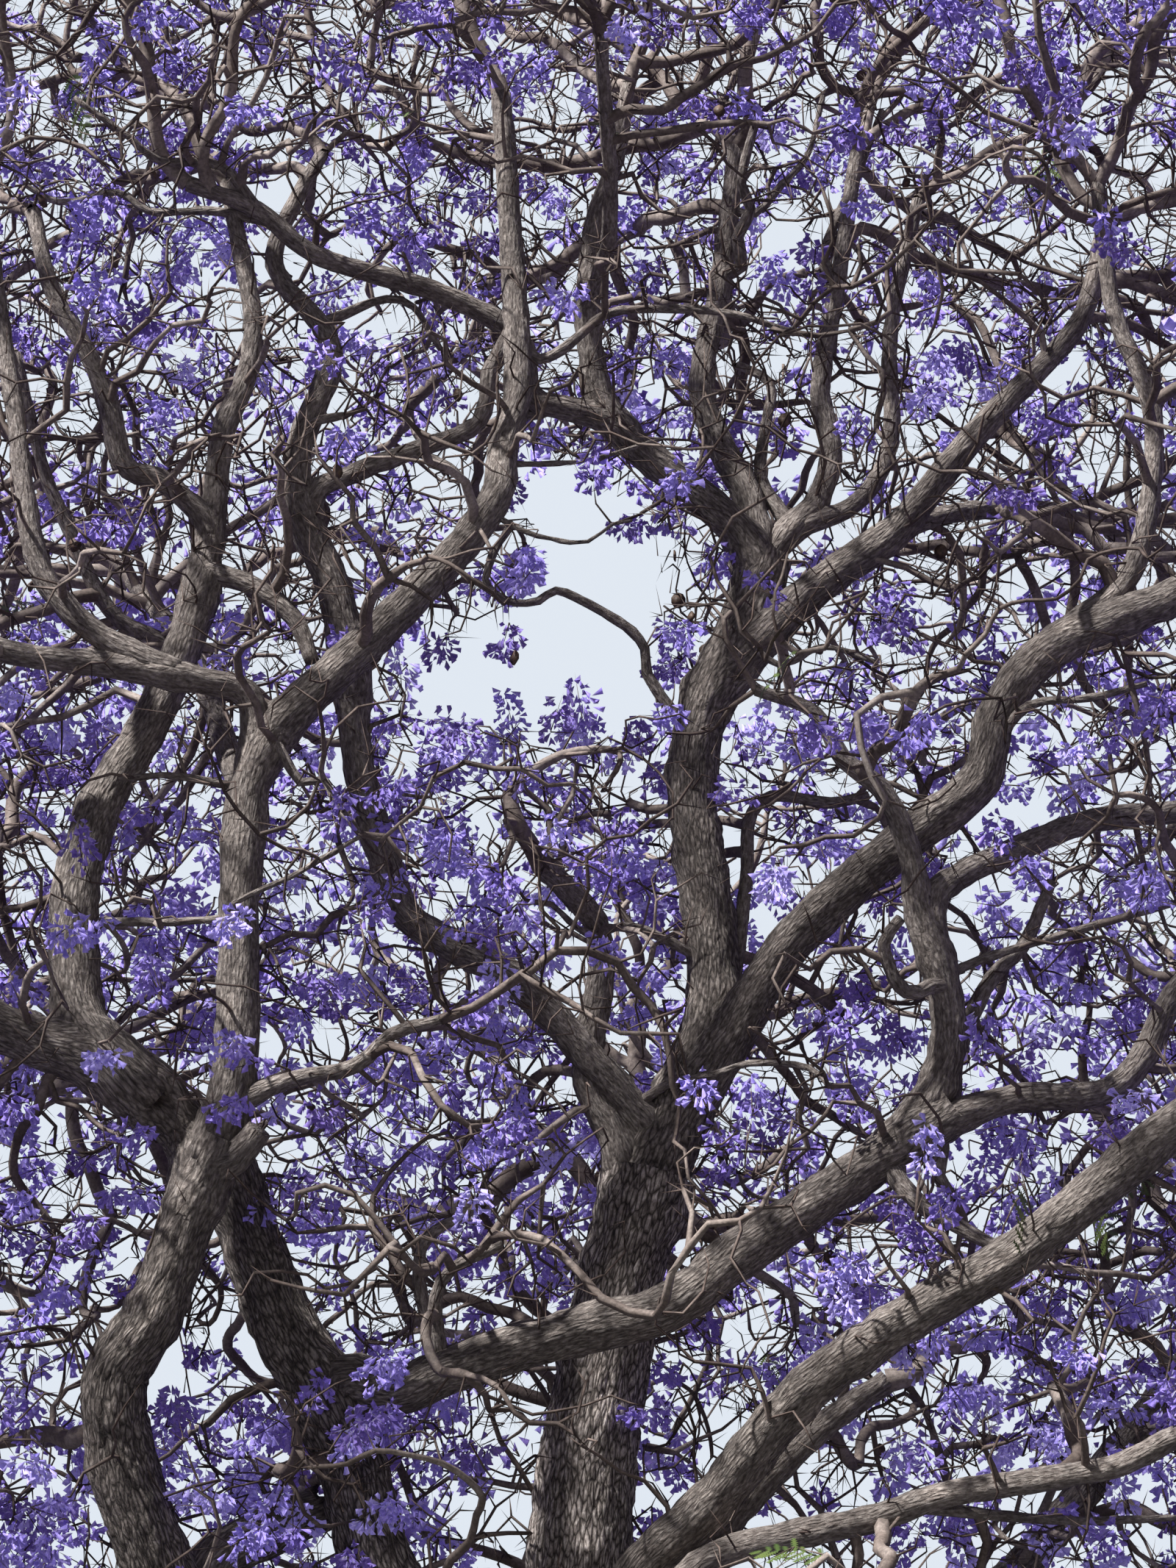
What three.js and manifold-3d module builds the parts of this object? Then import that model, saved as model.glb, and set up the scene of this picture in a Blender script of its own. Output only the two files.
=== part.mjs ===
// A jacaranda in full bloom: a trunk that forks low, its leaders and boughs, and the masses of
// twigs and blossom that they carry. Millimetres, +Z up. The origin is where the middle of the
// trunk meets the level ground.
import * as THREE from "three";
import { mergeVertices } from "three/addons/utils/BufferGeometryUtils.js";
import Module from "manifold-3d";

const wasm = await Module();
wasm.setup();

// The tree is laid out as someone sees it from in front: EYE is where they stand, and SIGHT is
// the point on the tree in the middle of what they see.
const SIGHT = new THREE.Vector3(200, 0, 6000);
const EYE = new THREE.Vector3(SIGHT.x, -17000, 1600);
const SIGHT_LENGTH = SIGHT.distanceTo(EYE);

// The trunk. TRUNK_SUNK is how far it is drawn below the ground before it is cut level there.
const TRUNK_HEIGHT = 1700;
const TRUNK_RADIUS = 450;
const TRUNK_TOP_RADIUS = 330;
const TRUNK_LEAN = 60;
const FLARE = 0.42;
const FLARE_HEIGHT = 300;
const BUTTRESSES = 5;
const BUTTRESS_DEPTH = 0.13;
const TRUNK_SIDES = 15;
const TRUNK_RINGS = 6;
const TRUNK_SUNK = 120;

// How finely the solids are made, and the gap kept where two of them meet.
const LONG_SPAN = 1600;
const THICK = 150;
const MIDDLING = 70;
const MASS_SEGMENTS = 16;
const GAP = 0.4;
const TAPER = 1.15;
const TIP_BLUNTNESS = 0.6;
const TIP_IN_MASS = 90;

// The point that is seen `across` and `up` from SIGHT, measured at SIGHT's own distance, and
// that lies `depth` behind the trunk's foot.
function seen(across, up, depth) {
  const forward = SIGHT.clone().sub(EYE).normalize();
  const upward = new THREE.Vector3(1, 0, 0).cross(forward);
  const ray = forward
    .multiplyScalar(SIGHT_LENGTH)
    .addScaledVector(new THREE.Vector3(1, 0, 0), across)
    .addScaledVector(upward, up);
  return EYE.clone().addScaledVector(ray, (depth - EYE.y) / ray.y);
}

// Each bough leaves its parent `at` a share of the parent's length and tapers between the two
// radii in `girth`. `bends` are the places it is seen at, as across, up and depth.
const BOUGHS = [
  { name: "centre_leader", parent: "trunk", at: 0.88, girth: [262, 178],
    bends: [[-50, -3410, 0], [10, -2830, 20], [130, -2220, 60], [260, -1710, 100]] },
  { name: "high_leader", parent: "centre_leader", at: 0.95, girth: [132, 110],
    bends: [[400, -1390, 120], [530, -1000, 150], [520, -560, 180], [450, -40, 200],
      [490, 290, 220], [640, 630, 250], [780, 1000, 280]] },
  { name: "left_fork", parent: "high_leader", at: 0.97, girth: [96, 34],
    bends: [[640, 1120, 240], [450, 1280, 200], [230, 1450, 150], [70, 1660, 100],
      [10, 1910, 60], [0, 2200, 20], [30, 2450, 0], [120, 2720, -30], [220, 3400, -80]] },
  { name: "middle_fork", parent: "high_leader", at: 0.97, girth: [80, 44],
    bends: [[690, 1270, 350], [590, 1460, 450], [500, 1690, 500], [520, 1910, 530],
      [570, 2130, 560], [620, 2500, 600], [660, 3000, 620]] },
  { name: "right_fork", parent: "high_leader", at: 0.72, girth: [108, 40],
    bends: [[790, 700, 200], [960, 830, 160], [1330, 1100, 80], [1530, 1340, 20],
      [1710, 1550, -40], [1920, 1760, -70], [2130, 2000, -90], [2200, 2190, -110],
      [2290, 2700, -130]] },
  { name: "pale_stem", parent: "high_leader", at: 0.95, girth: [64, 34],
    bends: [[880, 1120, 340], [980, 1210, 400], [1060, 1440, 480], [1010, 1700, 550],
      [1040, 1940, 600], [1090, 2180, 640], [1170, 2750, 700]] },
  { name: "pale_stem_right", parent: "pale_stem", at: 0.12, girth: [50, 30],
    bends: [[1120, 1190, 430], [1270, 1350, 500], [1320, 1540, 520], [1310, 1810, 500],
      [1330, 2070, 480], [1440, 2550, 450], [1460, 2960, 420]] },
  { name: "rising_bough", parent: "high_leader", at: 0.08, girth: [108, 76],
    bends: [[600, -1140, 60], [740, -900, -20], [890, -680, -120], [1150, -430, -260],
      [1440, -200, -400], [1710, 20, -500], [1780, 280, -540], [2000, 570, -600],
      [2560, 820, -700], [3360, 1240, -750], [4480, 1750, -700]] },
  { name: "right_upright", parent: "rising_bough", at: 0.5, girth: [58, 34],
    bends: [[2360, 920, -620], [2450, 1280, -600], [2450, 1650, -560], [2290, 2070, -500],
      [2200, 2750, -450]] },
  { name: "low_left_leader", parent: "trunk", at: 0.84, girth: [180, 84],
    bends: [[-560, -4040, -350], [-800, -3640, -460], [-930, -3360, -500], [-1060, -2860, -510],
      [-1310, -2350, -430], [-1440, -2030, -350], [-1530, -1760, -280], [-1640, -1540, -160],
      [-1810, -1430, 120], [-2300, -1150, 1200], [-2700, -900, 2400]] },
  { name: "crossing_bough", parent: "low_left_leader", at: 0.34, girth: [104, 102],
    bends: [[-820, -2630, -570], [-640, -2560, -610], [-320, -2450, -650], [0, -2360, -660],
      [330, -2290, -660], [640, -2070, -650], [960, -1850, -620], [1290, -1620, -590],
      [1570, -1420, -560]] },
  { name: "crossing_bough_end", parent: "crossing_bough", at: 0.96, girth: [68, 38],
    bends: [[1870, -1370, -600], [2270, -1330, -660], [2450, -1130, -710], [2580, -880, -740],
      [3200, -450, -850], [4400, -100, -1000]] },
  { name: "upright_stem", parent: "crossing_bough", at: 0.95, girth: [94, 26],
    bends: [[1560, -1170, -600], [1550, -900, -640], [1430, -530, -700], [1410, -330, -740],
      [1280, -20, -790], [1110, 110, -810], [990, 310, -830], [730, 410, -850]] },
  { name: "forked_limb", parent: "upright_stem", at: 0.37, girth: [62, 42],
    bends: [[1520, -470, -650], [1790, -320, -500], [2170, -170, -300], [2700, -100, -100],
      [4000, 200, 200]] },
  { name: "low_right_bough", parent: "trunk", at: 0.88, girth: [112, 84],
    bends: [[230, -3440, -450], [530, -3140, -650], [960, -2630, -950], [1390, -2320, -1080],
      [1830, -2060, -1180], [2240, -1740, -1220], [2690, -1400, -1280], [4800, -750, -1200]] },
  { name: "lower_right_bough", parent: "low_right_bough", at: 0.1, girth: [78, 52],
    bends: [[510, -3260, -480], [800, -3010, -560], [1070, -2760, -590], [1730, -2400, -560],
      [2100, -2500, -500]] },
  { name: "lowest_right_bough", parent: "trunk", at: 0.76, girth: [84, 38],
    bends: [[420, -3480, -700], [640, -3330, -780], [1280, -3190, -900], [1550, -3100, -960],
      [2290, -2970, -1120], [2560, -2840, -1200], [4300, -2300, -1900]] },
  { name: "left_leader", parent: "trunk", at: 0.58, girth: [190, 120],
    bends: [[-1000, -4500, -300], [-1480, -4110, -540], [-1760, -3690, -700],
      [-1890, -3370, -800], [-2040, -2900, -880], [-2050, -2560, -940], [-1910, -2340, -970],
      [-1700, -1780, -1010], [-1590, -1540, -1040]] },
  { name: "broken_limb", parent: "left_leader", at: 0.42, girth: [112, 100],
    bends: [[-1640, -3420, -560], [-1400, -3270, -420], [-1170, -3160, -300]] },
  { name: "left_upright", parent: "left_leader", at: 0.97, girth: [98, 84],
    bends: [[-1545, -1290, -1030], [-1530, -970, -1000], [-1510, -380, -930],
      [-1460, 20, -900], [-1370, 230, -880]] },
  { name: "sweeping_bough", parent: "left_upright", at: 0.96, girth: [96, 46],
    bends: [[-1150, 440, -860], [-850, 730, -800], [-510, 1090, -740], [-385, 1290, -700],
      [-365, 1490, -660], [-300, 1700, -620], [-330, 2350, -500], [-380, 3000, -400]] },
  { name: "top_left_bough", parent: "left_fork", at: 0.32, girth: [60, 38],
    bends: [[-110, 1640, 40], [-250, 1690, -10], [-300, 1930, -60], [-640, 2130, -160],
      [-1190, 2310, -400], [-1440, 2500, -470], [-1790, 2630, -520], [-2400, 2850, -600]] },
  { name: "level_bough", parent: "left_upright", at: 0.93, girth: [60, 46],
    bends: [[-1490, 400, -950], [-1650, 450, -1000], [-2210, 530, -1100], [-2560, 580, -1150],
      [-3330, 900, -1100], [-4400, 1500, -700]] },
  { name: "hooked_bough", parent: "level_bough", at: 0.16, girth: [58, 34],
    bends: [[-2030, 600, -1080], [-2210, 710, -1100], [-2390, 960, -1100], [-2460, 1340, -1060],
      [-2490, 1600, -1020], [-2540, 1880, -960], [-2600, 2420, -900], [-2700, 2900, -700]] },
  { name: "left_bough", parent: "left_leader", at: 0.95, girth: [126, 66],
    bends: [[-1760, -1500, -1070], [-1950, -1330, -1090], [-2160, -1200, -1120],
      [-2400, -1120, -1150], [-2720, -990, -1200], [-3600, -650, -1350], [-4700, -300, -1300]] },
  { name: "left_stem", parent: "left_bough", at: 0.17, girth: [116, 82],
    bends: [[-2180, -1080, -1000], [-2230, -850, -940], [-2230, -480, -880], [-2110, -70, -780],
      [-1940, 210, -720], [-1770, 600, -650], [-1670, 900, -600]] },
  { name: "left_stem_top", parent: "left_stem", at: 0.97, girth: [64, 36],
    bends: [[-1630, 1160, -580], [-1590, 1540, -560], [-1510, 1720, -520], [-1460, 1980, -500],
      [-1640, 2950, -300]] },
  { name: "dark_left_bough", parent: "left_stem_top", at: 0.12, girth: [54, 34],
    bends: [[-1870, 1330, -660], [-2000, 1370, -700], [-2080, 1640, -740], [-2190, 1900, -760],
      [-2330, 2150, -760], [-2480, 2800, -600]] },
  { name: "hidden_leader", parent: "centre_leader", at: 0.94, girth: [86, 50],
    bends: [[110, -1510, 60], [0, -1290, 60], [20, -1030, 40], [60, -780, 0], [30, -600, -100],
      [-250, -300, -600]] },
  { name: "sinuous_limb", parent: "high_leader", at: 0.05, girth: [76, 70],
    bends: [[220, -1280, 10], [-20, -1130, -40], [-310, -850, -70], [-660, -660, -90],
      [-810, -540, -110], [-980, 20, -180], [-1040, 600, -260]] },
  { name: "sinuous_limb_top", parent: "sinuous_limb", at: 0.97, girth: [88, 32],
    bends: [[-1100, 850, -280], [-1250, 1210, -300], [-1260, 1460, -300], [-1120, 1840, -290],
      [-1170, 2000, -280], [-1370, 2260, -220], [-1280, 2530, -180], [-1150, 2800, -150],
      [-1460, 3140, -120]] },
  { name: "middle_bough", parent: "sinuous_limb_top", at: 0.22, girth: [48, 26],
    bends: [[-1160, 1290, -330], [-770, 1450, -380], [-480, 1570, -380], [-430, 1790, -370],
      [-330, 2000, -340], [-320, 2290, -320], [-390, 2800, -250]] },
];

// Boughs that arch to a mass of blossom that is out of sight, or nearly so. `by` are places on
// the way there.
const ARCHES = [
  { name: "rear_bough_middle", parent: "trunk", at: 0.86, to: "back_middle", girth: [130, 66],
    by: [[30, 800, 2300], [150, 1900, 3400], [300, 3200, 4500]] },
  { name: "rear_bough_right", parent: "trunk", at: 0.7, to: "back_right", girth: [135, 66],
    by: [[800, 700, 1750], [1900, 1600, 2500], [3200, 2700, 3900]] },
  { name: "rear_top_left", parent: "left_upright", at: 0.8, to: "back_top_left", girth: [66, 38],
    by: [[-1500, 100, 6500], [-1900, 1500, 7300]] },
  { name: "rear_top_right", parent: "right_fork", at: 0.38, to: "back_top_right", girth: [50, 34],
    by: [[1870, 300, 7340], [2300, 900, 7560], [2700, 2200, 7900]] },
  { name: "front_bough_left", parent: "left_leader", at: 0.26, to: "front_left", girth: [104, 48],
    by: [[-2100, -1300, 2350], [-3200, -2300, 3300]] },
  { name: "front_bough_right", parent: "low_right_bough", at: 0.62, to: "front_right",
    girth: [72, 44], by: [[3300, -2000, 4700], [4000, -2800, 5300]] },
  { name: "front_top_bough", parent: "left_fork", at: 0.5, to: "top_front", girth: [44, 30],
    by: [[300, -500, 8400], [250, -1400, 8900]] },
];

// The masses of twigs and blossom: the middle and the half-sizes along X, Y and Z.
const MASSES = [
  { name: "top_centre", middle: [200, 500, 10050], half: [2400, 2100, 1150] },
  { name: "top_left", middle: [-3000, 0, 9350], half: [2200, 2300, 1400] },
  { name: "top_right", middle: [3400, 200, 9250], half: [2200, 2300, 1400] },
  { name: "high_centre", middle: [300, 2700, 8900], half: [1700, 1500, 1100] },
  { name: "back_top_left", middle: [-2500, 3500, 8200], half: [2000, 1900, 1500] },
  { name: "back_top_right", middle: [3000, 3600, 8100], half: [2000, 1900, 1500] },
  { name: "top_front", middle: [100, -2700, 9300], half: [2400, 1600, 1150] },
  { name: "left_high", middle: [-5000, -100, 7200], half: [1850, 2400, 1650] },
  { name: "right_high", middle: [5400, 100, 7300], half: [1850, 2400, 1650] },
  { name: "left_low", middle: [-5200, -1400, 4600], half: [1700, 2200, 1500] },
  { name: "right_low", middle: [5700, -1000, 5000], half: [1700, 2200, 1450] },
  { name: "right_skirt", middle: [4300, -2500, 3500], half: [1400, 1400, 950] },
  { name: "back_left", middle: [-3400, 3900, 5600], half: [2400, 2200, 2000] },
  { name: "back_middle", middle: [500, 4900, 5300], half: [2300, 1700, 2250] },
  { name: "back_right", middle: [4300, 3700, 5300], half: [2300, 2200, 2000] },
  { name: "front_left", middle: [-3800, -3500, 6300], half: [1800, 1700, 1900] },
  { name: "front_right", middle: [4500, -3500, 6400], half: [1800, 1700, 1900] },
  { name: "inner_centre", middle: seen(-330, -250, -800).toArray(), half: [600, 360, 560] },
  { name: "low_left", middle: seen(-1400, -2830, 60).toArray(), half: [680, 660, 560] },
  { name: "low_right", middle: seen(2150, -2600, -500).toArray(), half: [820, 600, 520] },
];
// A mass is lumpy: it swells and shrinks by LUMPS as its surface turns, and its underside is flatter.
const LUMPS = 0.13;
const UNDERSIDE = 0.78;

const BARK = new THREE.MeshStandardMaterial({ color: 0x857a70, roughness: 0.95, metalness: 0 });
const BLOSSOM = new THREE.MeshStandardMaterial({ color: 0x7e70c8, roughness: 0.85, metalness: 0 });

// A manifold-3d solid from a closed three.js geometry.
function solidFrom(geometry) {
  const bare = new THREE.BufferGeometry().setAttribute("position", geometry.getAttribute("position"));
  bare.setIndex(geometry.index);
  const merged = mergeVertices(bare, 1e-3);
  return new wasm.Manifold(
    new wasm.Mesh({
      numProp: 3,
      vertProperties: merged.attributes.position.array,
      triVerts: new Uint32Array(merged.index.array),
    }),
  );
}

// The three.js geometry of a manifold-3d solid.
function geometryFrom(solid) {
  const { vertProperties, triVerts } = solid.getMesh();
  return new THREE.BufferGeometry()
    .setAttribute("position", new THREE.BufferAttribute(new Float32Array(vertProperties), 3))
    .setIndex(new THREE.BufferAttribute(new Uint32Array(triVerts), 1));
}

// The largest body of a solid, for what a cut leaves.
function largest(solid) {
  return solid.decompose().reduce((a, b) => (a.volume() > b.volume() ? a : b));
}

// A closed tube of rings round a line of stations, each { centre, radius(angle) }, with a point at
// either end: a flat one at the foot, and one that stands out by `bluntness` radii at the tip.
function tubeGeometry(stations, sides, bluntness) {
  const positions = [];
  const indices = [];
  const along = stations.map((station, i) =>
    stations[Math.min(i + 1, stations.length - 1)].centre
      .clone()
      .sub(stations[Math.max(i - 1, 0)].centre)
      .normalize(),
  );
  let sideways = new THREE.Vector3(1, 0, 0);
  if (Math.abs(along[0].x) > 0.9) sideways.set(0, 1, 0);
  stations.forEach((station, i) => {
    sideways = sideways.addScaledVector(along[i], -sideways.dot(along[i])).normalize();
    const third = along[i].clone().cross(sideways);
    for (let k = 0; k < sides; k += 1) {
      const angle = (2 * Math.PI * k) / sides;
      const radius = station.radius(angle);
      const point = station.centre
        .clone()
        .addScaledVector(sideways, radius * Math.cos(angle))
        .addScaledVector(third, radius * Math.sin(angle));
      positions.push(...point.toArray());
    }
  });
  const last = stations.length - 1;
  for (let i = 0; i < last; i += 1) {
    for (let k = 0; k < sides; k += 1) {
      const a = i * sides + k;
      const b = i * sides + ((k + 1) % sides);
      indices.push(a, b, b + sides, a, b + sides, a + sides);
    }
  }
  const foot = positions.length / 3;
  const tip = foot + 1;
  const end = stations[last];
  positions.push(...stations[0].centre.toArray());
  positions.push(
    ...end.centre.clone().addScaledVector(along[last], bluntness * end.radius(0)).toArray(),
  );
  for (let k = 0; k < sides; k += 1) {
    const next = (k + 1) % sides;
    indices.push(foot, next, k);
    indices.push(tip, last * sides + k, last * sides + next);
  }
  return new THREE.BufferGeometry()
    .setAttribute("position", new THREE.Float32BufferAttribute(positions, 3))
    .setIndex(indices);
}

// The trunk's stations: buttressed and flared at the ground, and nearly straight above.
function trunkStations(grow) {
  return Array.from({ length: TRUNK_RINGS + 1 }, (_, i) => {
    const height = i === 0 ? -TRUNK_SUNK : TRUNK_HEIGHT * (i / TRUNK_RINGS) ** 1.5;
    const near = Math.exp(-height / FLARE_HEIGHT);
    const share = height / TRUNK_HEIGHT;
    const plain = TRUNK_RADIUS + (TRUNK_TOP_RADIUS - TRUNK_RADIUS) * share;
    return {
      centre: new THREE.Vector3(-TRUNK_LEAN * share, 0, height),
      radius: (angle) =>
        grow + plain * (1 + near * (FLARE + BUTTRESS_DEPTH * Math.cos(BUTTRESSES * angle))),
    };
  });
}

// The shares of a curve's parameter at which a bough has a ring: at each bend before its end, and
// in the middle of each long span.
function ringShares(curve, end) {
  const spans = curve.points.length - 1;
  const shares = [];
  for (let i = 0; i < spans; i += 1) {
    shares.push(i / spans);
    if (curve.points[i].distanceTo(curve.points[i + 1]) > LONG_SPAN) shares.push((i + 0.5) / spans);
  }
  return [...shares.filter((share) => share < end - 0.3 / spans), end];
}

// The stations of a bough, which tapers between two radii as it gets further from its foot.
function boughStations(curve, end, girth, grow) {
  const centres = ringShares(curve, end).map((share) => curve.getPoint(share));
  const reach = [0];
  centres.slice(1).forEach((centre, i) => reach.push(reach[i] + centre.distanceTo(centres[i])));
  return centres.map((centre, i) => {
    const left = 1 - reach[i] / reach[centres.length - 1];
    const radius = grow + girth[1] + (girth[0] - girth[1]) * left ** TAPER;
    return { centre, radius: () => radius };
  });
}

// How far a mass's surface is from its middle, as a share of its half-size, in a direction.
function lumpiness(direction, phase) {
  const { x, y, z } = direction;
  const waves =
    Math.sin(3.1 * x + 2.3 * y + phase) +
    Math.sin(4.3 * y - 2.9 * z + 2.1 * phase) +
    Math.sin(3.7 * z + 4.1 * x - 1.3 * phase);
  return (1 + (LUMPS * waves) / 2) * (z < 0 ? 1 - (1 - UNDERSIDE) * z * z : 1);
}

// A mass as a closed solid, all round larger by `grow`.
function massSolid(mass, phase, grow) {
  const [x, y, z] = mass.middle;
  return wasm.Manifold.sphere(1, MASS_SEGMENTS).warp((vertex) => {
    const reach = lumpiness(new THREE.Vector3(...vertex), phase);
    vertex[0] = x + vertex[0] * reach * (mass.half[0] + grow);
    vertex[1] = y + vertex[1] * reach * (mass.half[1] + grow);
    vertex[2] = z + vertex[2] * reach * (mass.half[2] + grow);
  });
}

// How deep a point is in a mass, in millimetres along the line to its middle. It is negative outside.
function depthIn(mass, phase, point) {
  const offset = point.clone().sub(new THREE.Vector3(...mass.middle));
  const scaled = offset.clone().divide(new THREE.Vector3(...mass.half));
  const reach = lumpiness(scaled.clone().normalize(), phase) / scaled.length();
  return (reach - 1) * offset.length();
}

// The share of a curve's parameter at which its bough ends, just inside the first mass it enters.
function shareToMass(curve) {
  const steps = 200;
  for (let i = 1; i <= steps; i += 1) {
    const point = curve.getPoint(i / steps);
    if (MASSES.some((mass, m) => depthIn(mass, m, point) > TIP_IN_MASS)) return i / steps;
  }
  return 1;
}

function sidesFor(girth) {
  if (girth > THICK) return 9;
  return girth > MIDDLING ? 6 : 5;
}

const tree = new THREE.Group();
const curves = new Map();
const cutters = [];

function addNode(name, solid, material) {
  const mesh = new THREE.Mesh(geometryFrom(solid), material);
  mesh.name = name;
  tree.add(mesh);
}

// Adds a limb as far as the first mass, cut back from the limbs already there.
function addBough({ name, girth }, curve) {
  const end = shareToMass(curve);
  const sides = sidesFor(girth[0]);
  const made = (grow) =>
    solidFrom(tubeGeometry(boughStations(curve, end, girth, grow), sides, TIP_BLUNTNESS));
  const solid = cutters.reduce((left, cutter) => left.subtract(cutter), made(0));
  curves.set(name, curve);
  cutters.push(made(GAP));
  addNode(name, largest(solid), BARK);
}

// The trunk as a closed solid, cut level at the ground and all round larger by `grow`.
function trunkSolid(grow) {
  const whole = solidFrom(tubeGeometry(trunkStations(grow), TRUNK_SIDES, TIP_BLUNTNESS));
  return whole.trimByPlane([0, 0, 1], 0);
}

function addTrunk() {
  curves.set("trunk", new THREE.LineCurve3(
    new THREE.Vector3(0, 0, 0),
    new THREE.Vector3(-TRUNK_LEAN, 0, TRUNK_HEIGHT),
  ));
  cutters.push(trunkSolid(GAP));
  addNode("trunk", trunkSolid(0), BARK);
}

function addBoughs() {
  for (const bough of BOUGHS) {
    const start = curves.get(bough.parent).getPointAt(bough.at);
    const bends = bough.bends.map(([across, up, depth]) => seen(across, up, depth));
    addBough(bough, new THREE.CatmullRomCurve3([start, ...bends], false, "centripetal"));
  }
}

function addArches() {
  for (const arch of ARCHES) {
    const start = curves.get(arch.parent).getPointAt(arch.at);
    const bends = arch.by.map((place) => new THREE.Vector3(...place));
    const end = new THREE.Vector3(...MASSES.find((mass) => mass.name === arch.to).middle);
    addBough(arch, new THREE.CatmullRomCurve3([start, ...bends, end], false, "centripetal"));
  }
}

function addMasses() {
  MASSES.forEach((mass, phase) => {
    const made = massSolid(mass, phase, 0);
    const solid = cutters.reduce((left, cutter) => left.subtract(cutter), made);
    cutters.push(massSolid(mass, phase, GAP));
    addNode(mass.name, largest(solid), BLOSSOM);
  });
}

addTrunk();
addBoughs();
addArches();
addMasses();

export default tree;
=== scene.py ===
"""The looks of a jacaranda tree in full bloom, made round the tree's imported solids.

Each limb's solid is traced and covered with bark. Each mass of blossom is filled with branches and
twigs that grow on from the limbs, and the twigs carry flowers, old stalks, pods and a few leaves.
"""

import math

import bpy
import numpy as np
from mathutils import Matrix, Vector
from mathutils.bvhtree import BVHTree


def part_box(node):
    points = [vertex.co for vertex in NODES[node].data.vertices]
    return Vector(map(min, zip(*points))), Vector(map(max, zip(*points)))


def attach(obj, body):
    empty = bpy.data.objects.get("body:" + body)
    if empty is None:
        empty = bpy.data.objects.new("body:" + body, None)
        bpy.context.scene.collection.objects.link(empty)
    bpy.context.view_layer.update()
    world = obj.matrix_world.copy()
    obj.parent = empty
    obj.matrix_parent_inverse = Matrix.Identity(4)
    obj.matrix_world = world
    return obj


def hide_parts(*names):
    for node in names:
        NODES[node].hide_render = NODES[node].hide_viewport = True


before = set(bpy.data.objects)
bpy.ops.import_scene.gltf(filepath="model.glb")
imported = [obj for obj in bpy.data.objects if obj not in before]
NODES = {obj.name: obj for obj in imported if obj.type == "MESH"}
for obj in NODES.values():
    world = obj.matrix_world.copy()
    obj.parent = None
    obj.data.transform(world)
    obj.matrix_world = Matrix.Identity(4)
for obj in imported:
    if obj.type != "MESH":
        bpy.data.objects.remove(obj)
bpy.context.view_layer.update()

# The photograph's frame: where it was taken from, the point in its middle, its size in pixels, and
# the size of a pixel at that point.
EYE = np.array((0.2, -17.0, 1.6))
SIGHT = np.array((0.2, 0.0, 6.0))
PHOTO_WIDE = 1600
PHOTO_HIGH = 2133
PIXEL = 0.0032
RIGHT = np.array((1.0, 0.0, 0.0))
UP = np.array((0.0, 0.0, 1.0))
SIGHT_LENGTH = float(np.linalg.norm(SIGHT - EYE))
FORWARD = (SIGHT - EYE) / SIGHT_LENGTH
UPWARD = np.cross(RIGHT, FORWARD)

# Which limb each limb grows from.
GROWS_FROM = {
    "centre_leader": "trunk", "low_left_leader": "trunk", "left_leader": "trunk",
    "low_right_bough": "trunk", "lowest_right_bough": "trunk", "rear_bough_middle": "trunk",
    "rear_bough_right": "trunk", "high_leader": "centre_leader",
    "hidden_leader": "centre_leader", "sinuous_limb": "high_leader",
    "rising_bough": "high_leader", "left_fork": "high_leader", "middle_fork": "high_leader",
    "right_fork": "high_leader", "pale_stem": "high_leader", "pale_stem_right": "pale_stem",
    "right_upright": "rising_bough", "crossing_bough": "low_left_leader",
    "crossing_bough_end": "crossing_bough", "upright_stem": "crossing_bough",
    "forked_limb": "upright_stem", "lower_right_bough": "low_right_bough",
    "front_bough_right": "low_right_bough", "broken_limb": "left_leader",
    "left_upright": "left_leader", "left_bough": "left_leader",
    "front_bough_left": "left_leader", "sweeping_bough": "left_upright",
    "level_bough": "left_upright", "rear_top_left": "left_upright",
    "hooked_bough": "level_bough", "left_stem": "left_bough", "left_stem_top": "left_stem",
    "dark_left_bough": "left_stem_top", "sinuous_limb_top": "sinuous_limb",
    "middle_bough": "sinuous_limb_top", "top_left_bough": "left_fork",
    "rear_top_right": "right_fork", "front_top_bough": "left_fork",
}

# The masses, in the groups that share their pieces.
REGIONS = {
    "veil_left": ("inner_centre",),
    "veil_right": ("inner_centre",),
    "inner": ("inner_centre",),
    "top": ("top_centre", "top_front", "high_centre"),
    "top_left": ("top_left", "back_top_left", "left_high"),
    "top_right": ("top_right", "back_top_right", "right_high"),
    "left": ("left_low", "low_left", "front_left", "back_left"),
    "right": ("right_low", "right_skirt", "low_right", "front_right", "back_right",
              "back_middle"),
}

# The first two are for the twigs between the masses, on either side of this distance across.
VEILS = 2
VEIL_MIDDLE = 0.2

# Gaps that show sky, as ellipses in the photograph: middle across, middle down, half width, half
# height, and the turn of the long axis in degrees.
SKY_GAPS = [
    (815, 785, 74, 100, 0), (785, 900, 100, 82, 0), (640, 925, 78, 46, -12),
    (735, 665, 55, 32, 0),
    (1080, 650, 18, 42, 0), (1066, 340, 30, 34, 0), (853, 287, 26, 20, 0),
    (878, 552, 20, 28, 0), (1285, 490, 26, 40, 0), (1450, 500, 30, 18, 0),
    (1370, 1100, 42, 34, 0), (1400, 1000, 24, 20, 0), (1030, 970, 26, 28, 0),
    (1035, 1240, 26, 62, 0), (265, 1200, 26, 52, 0), (460, 1040, 22, 22, 0),
    (80, 860, 22, 22, 0), (220, 1855, 22, 76, 0), (345, 1840, 36, 24, 0),
    (610, 1010, 40, 24, 0),
]

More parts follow.
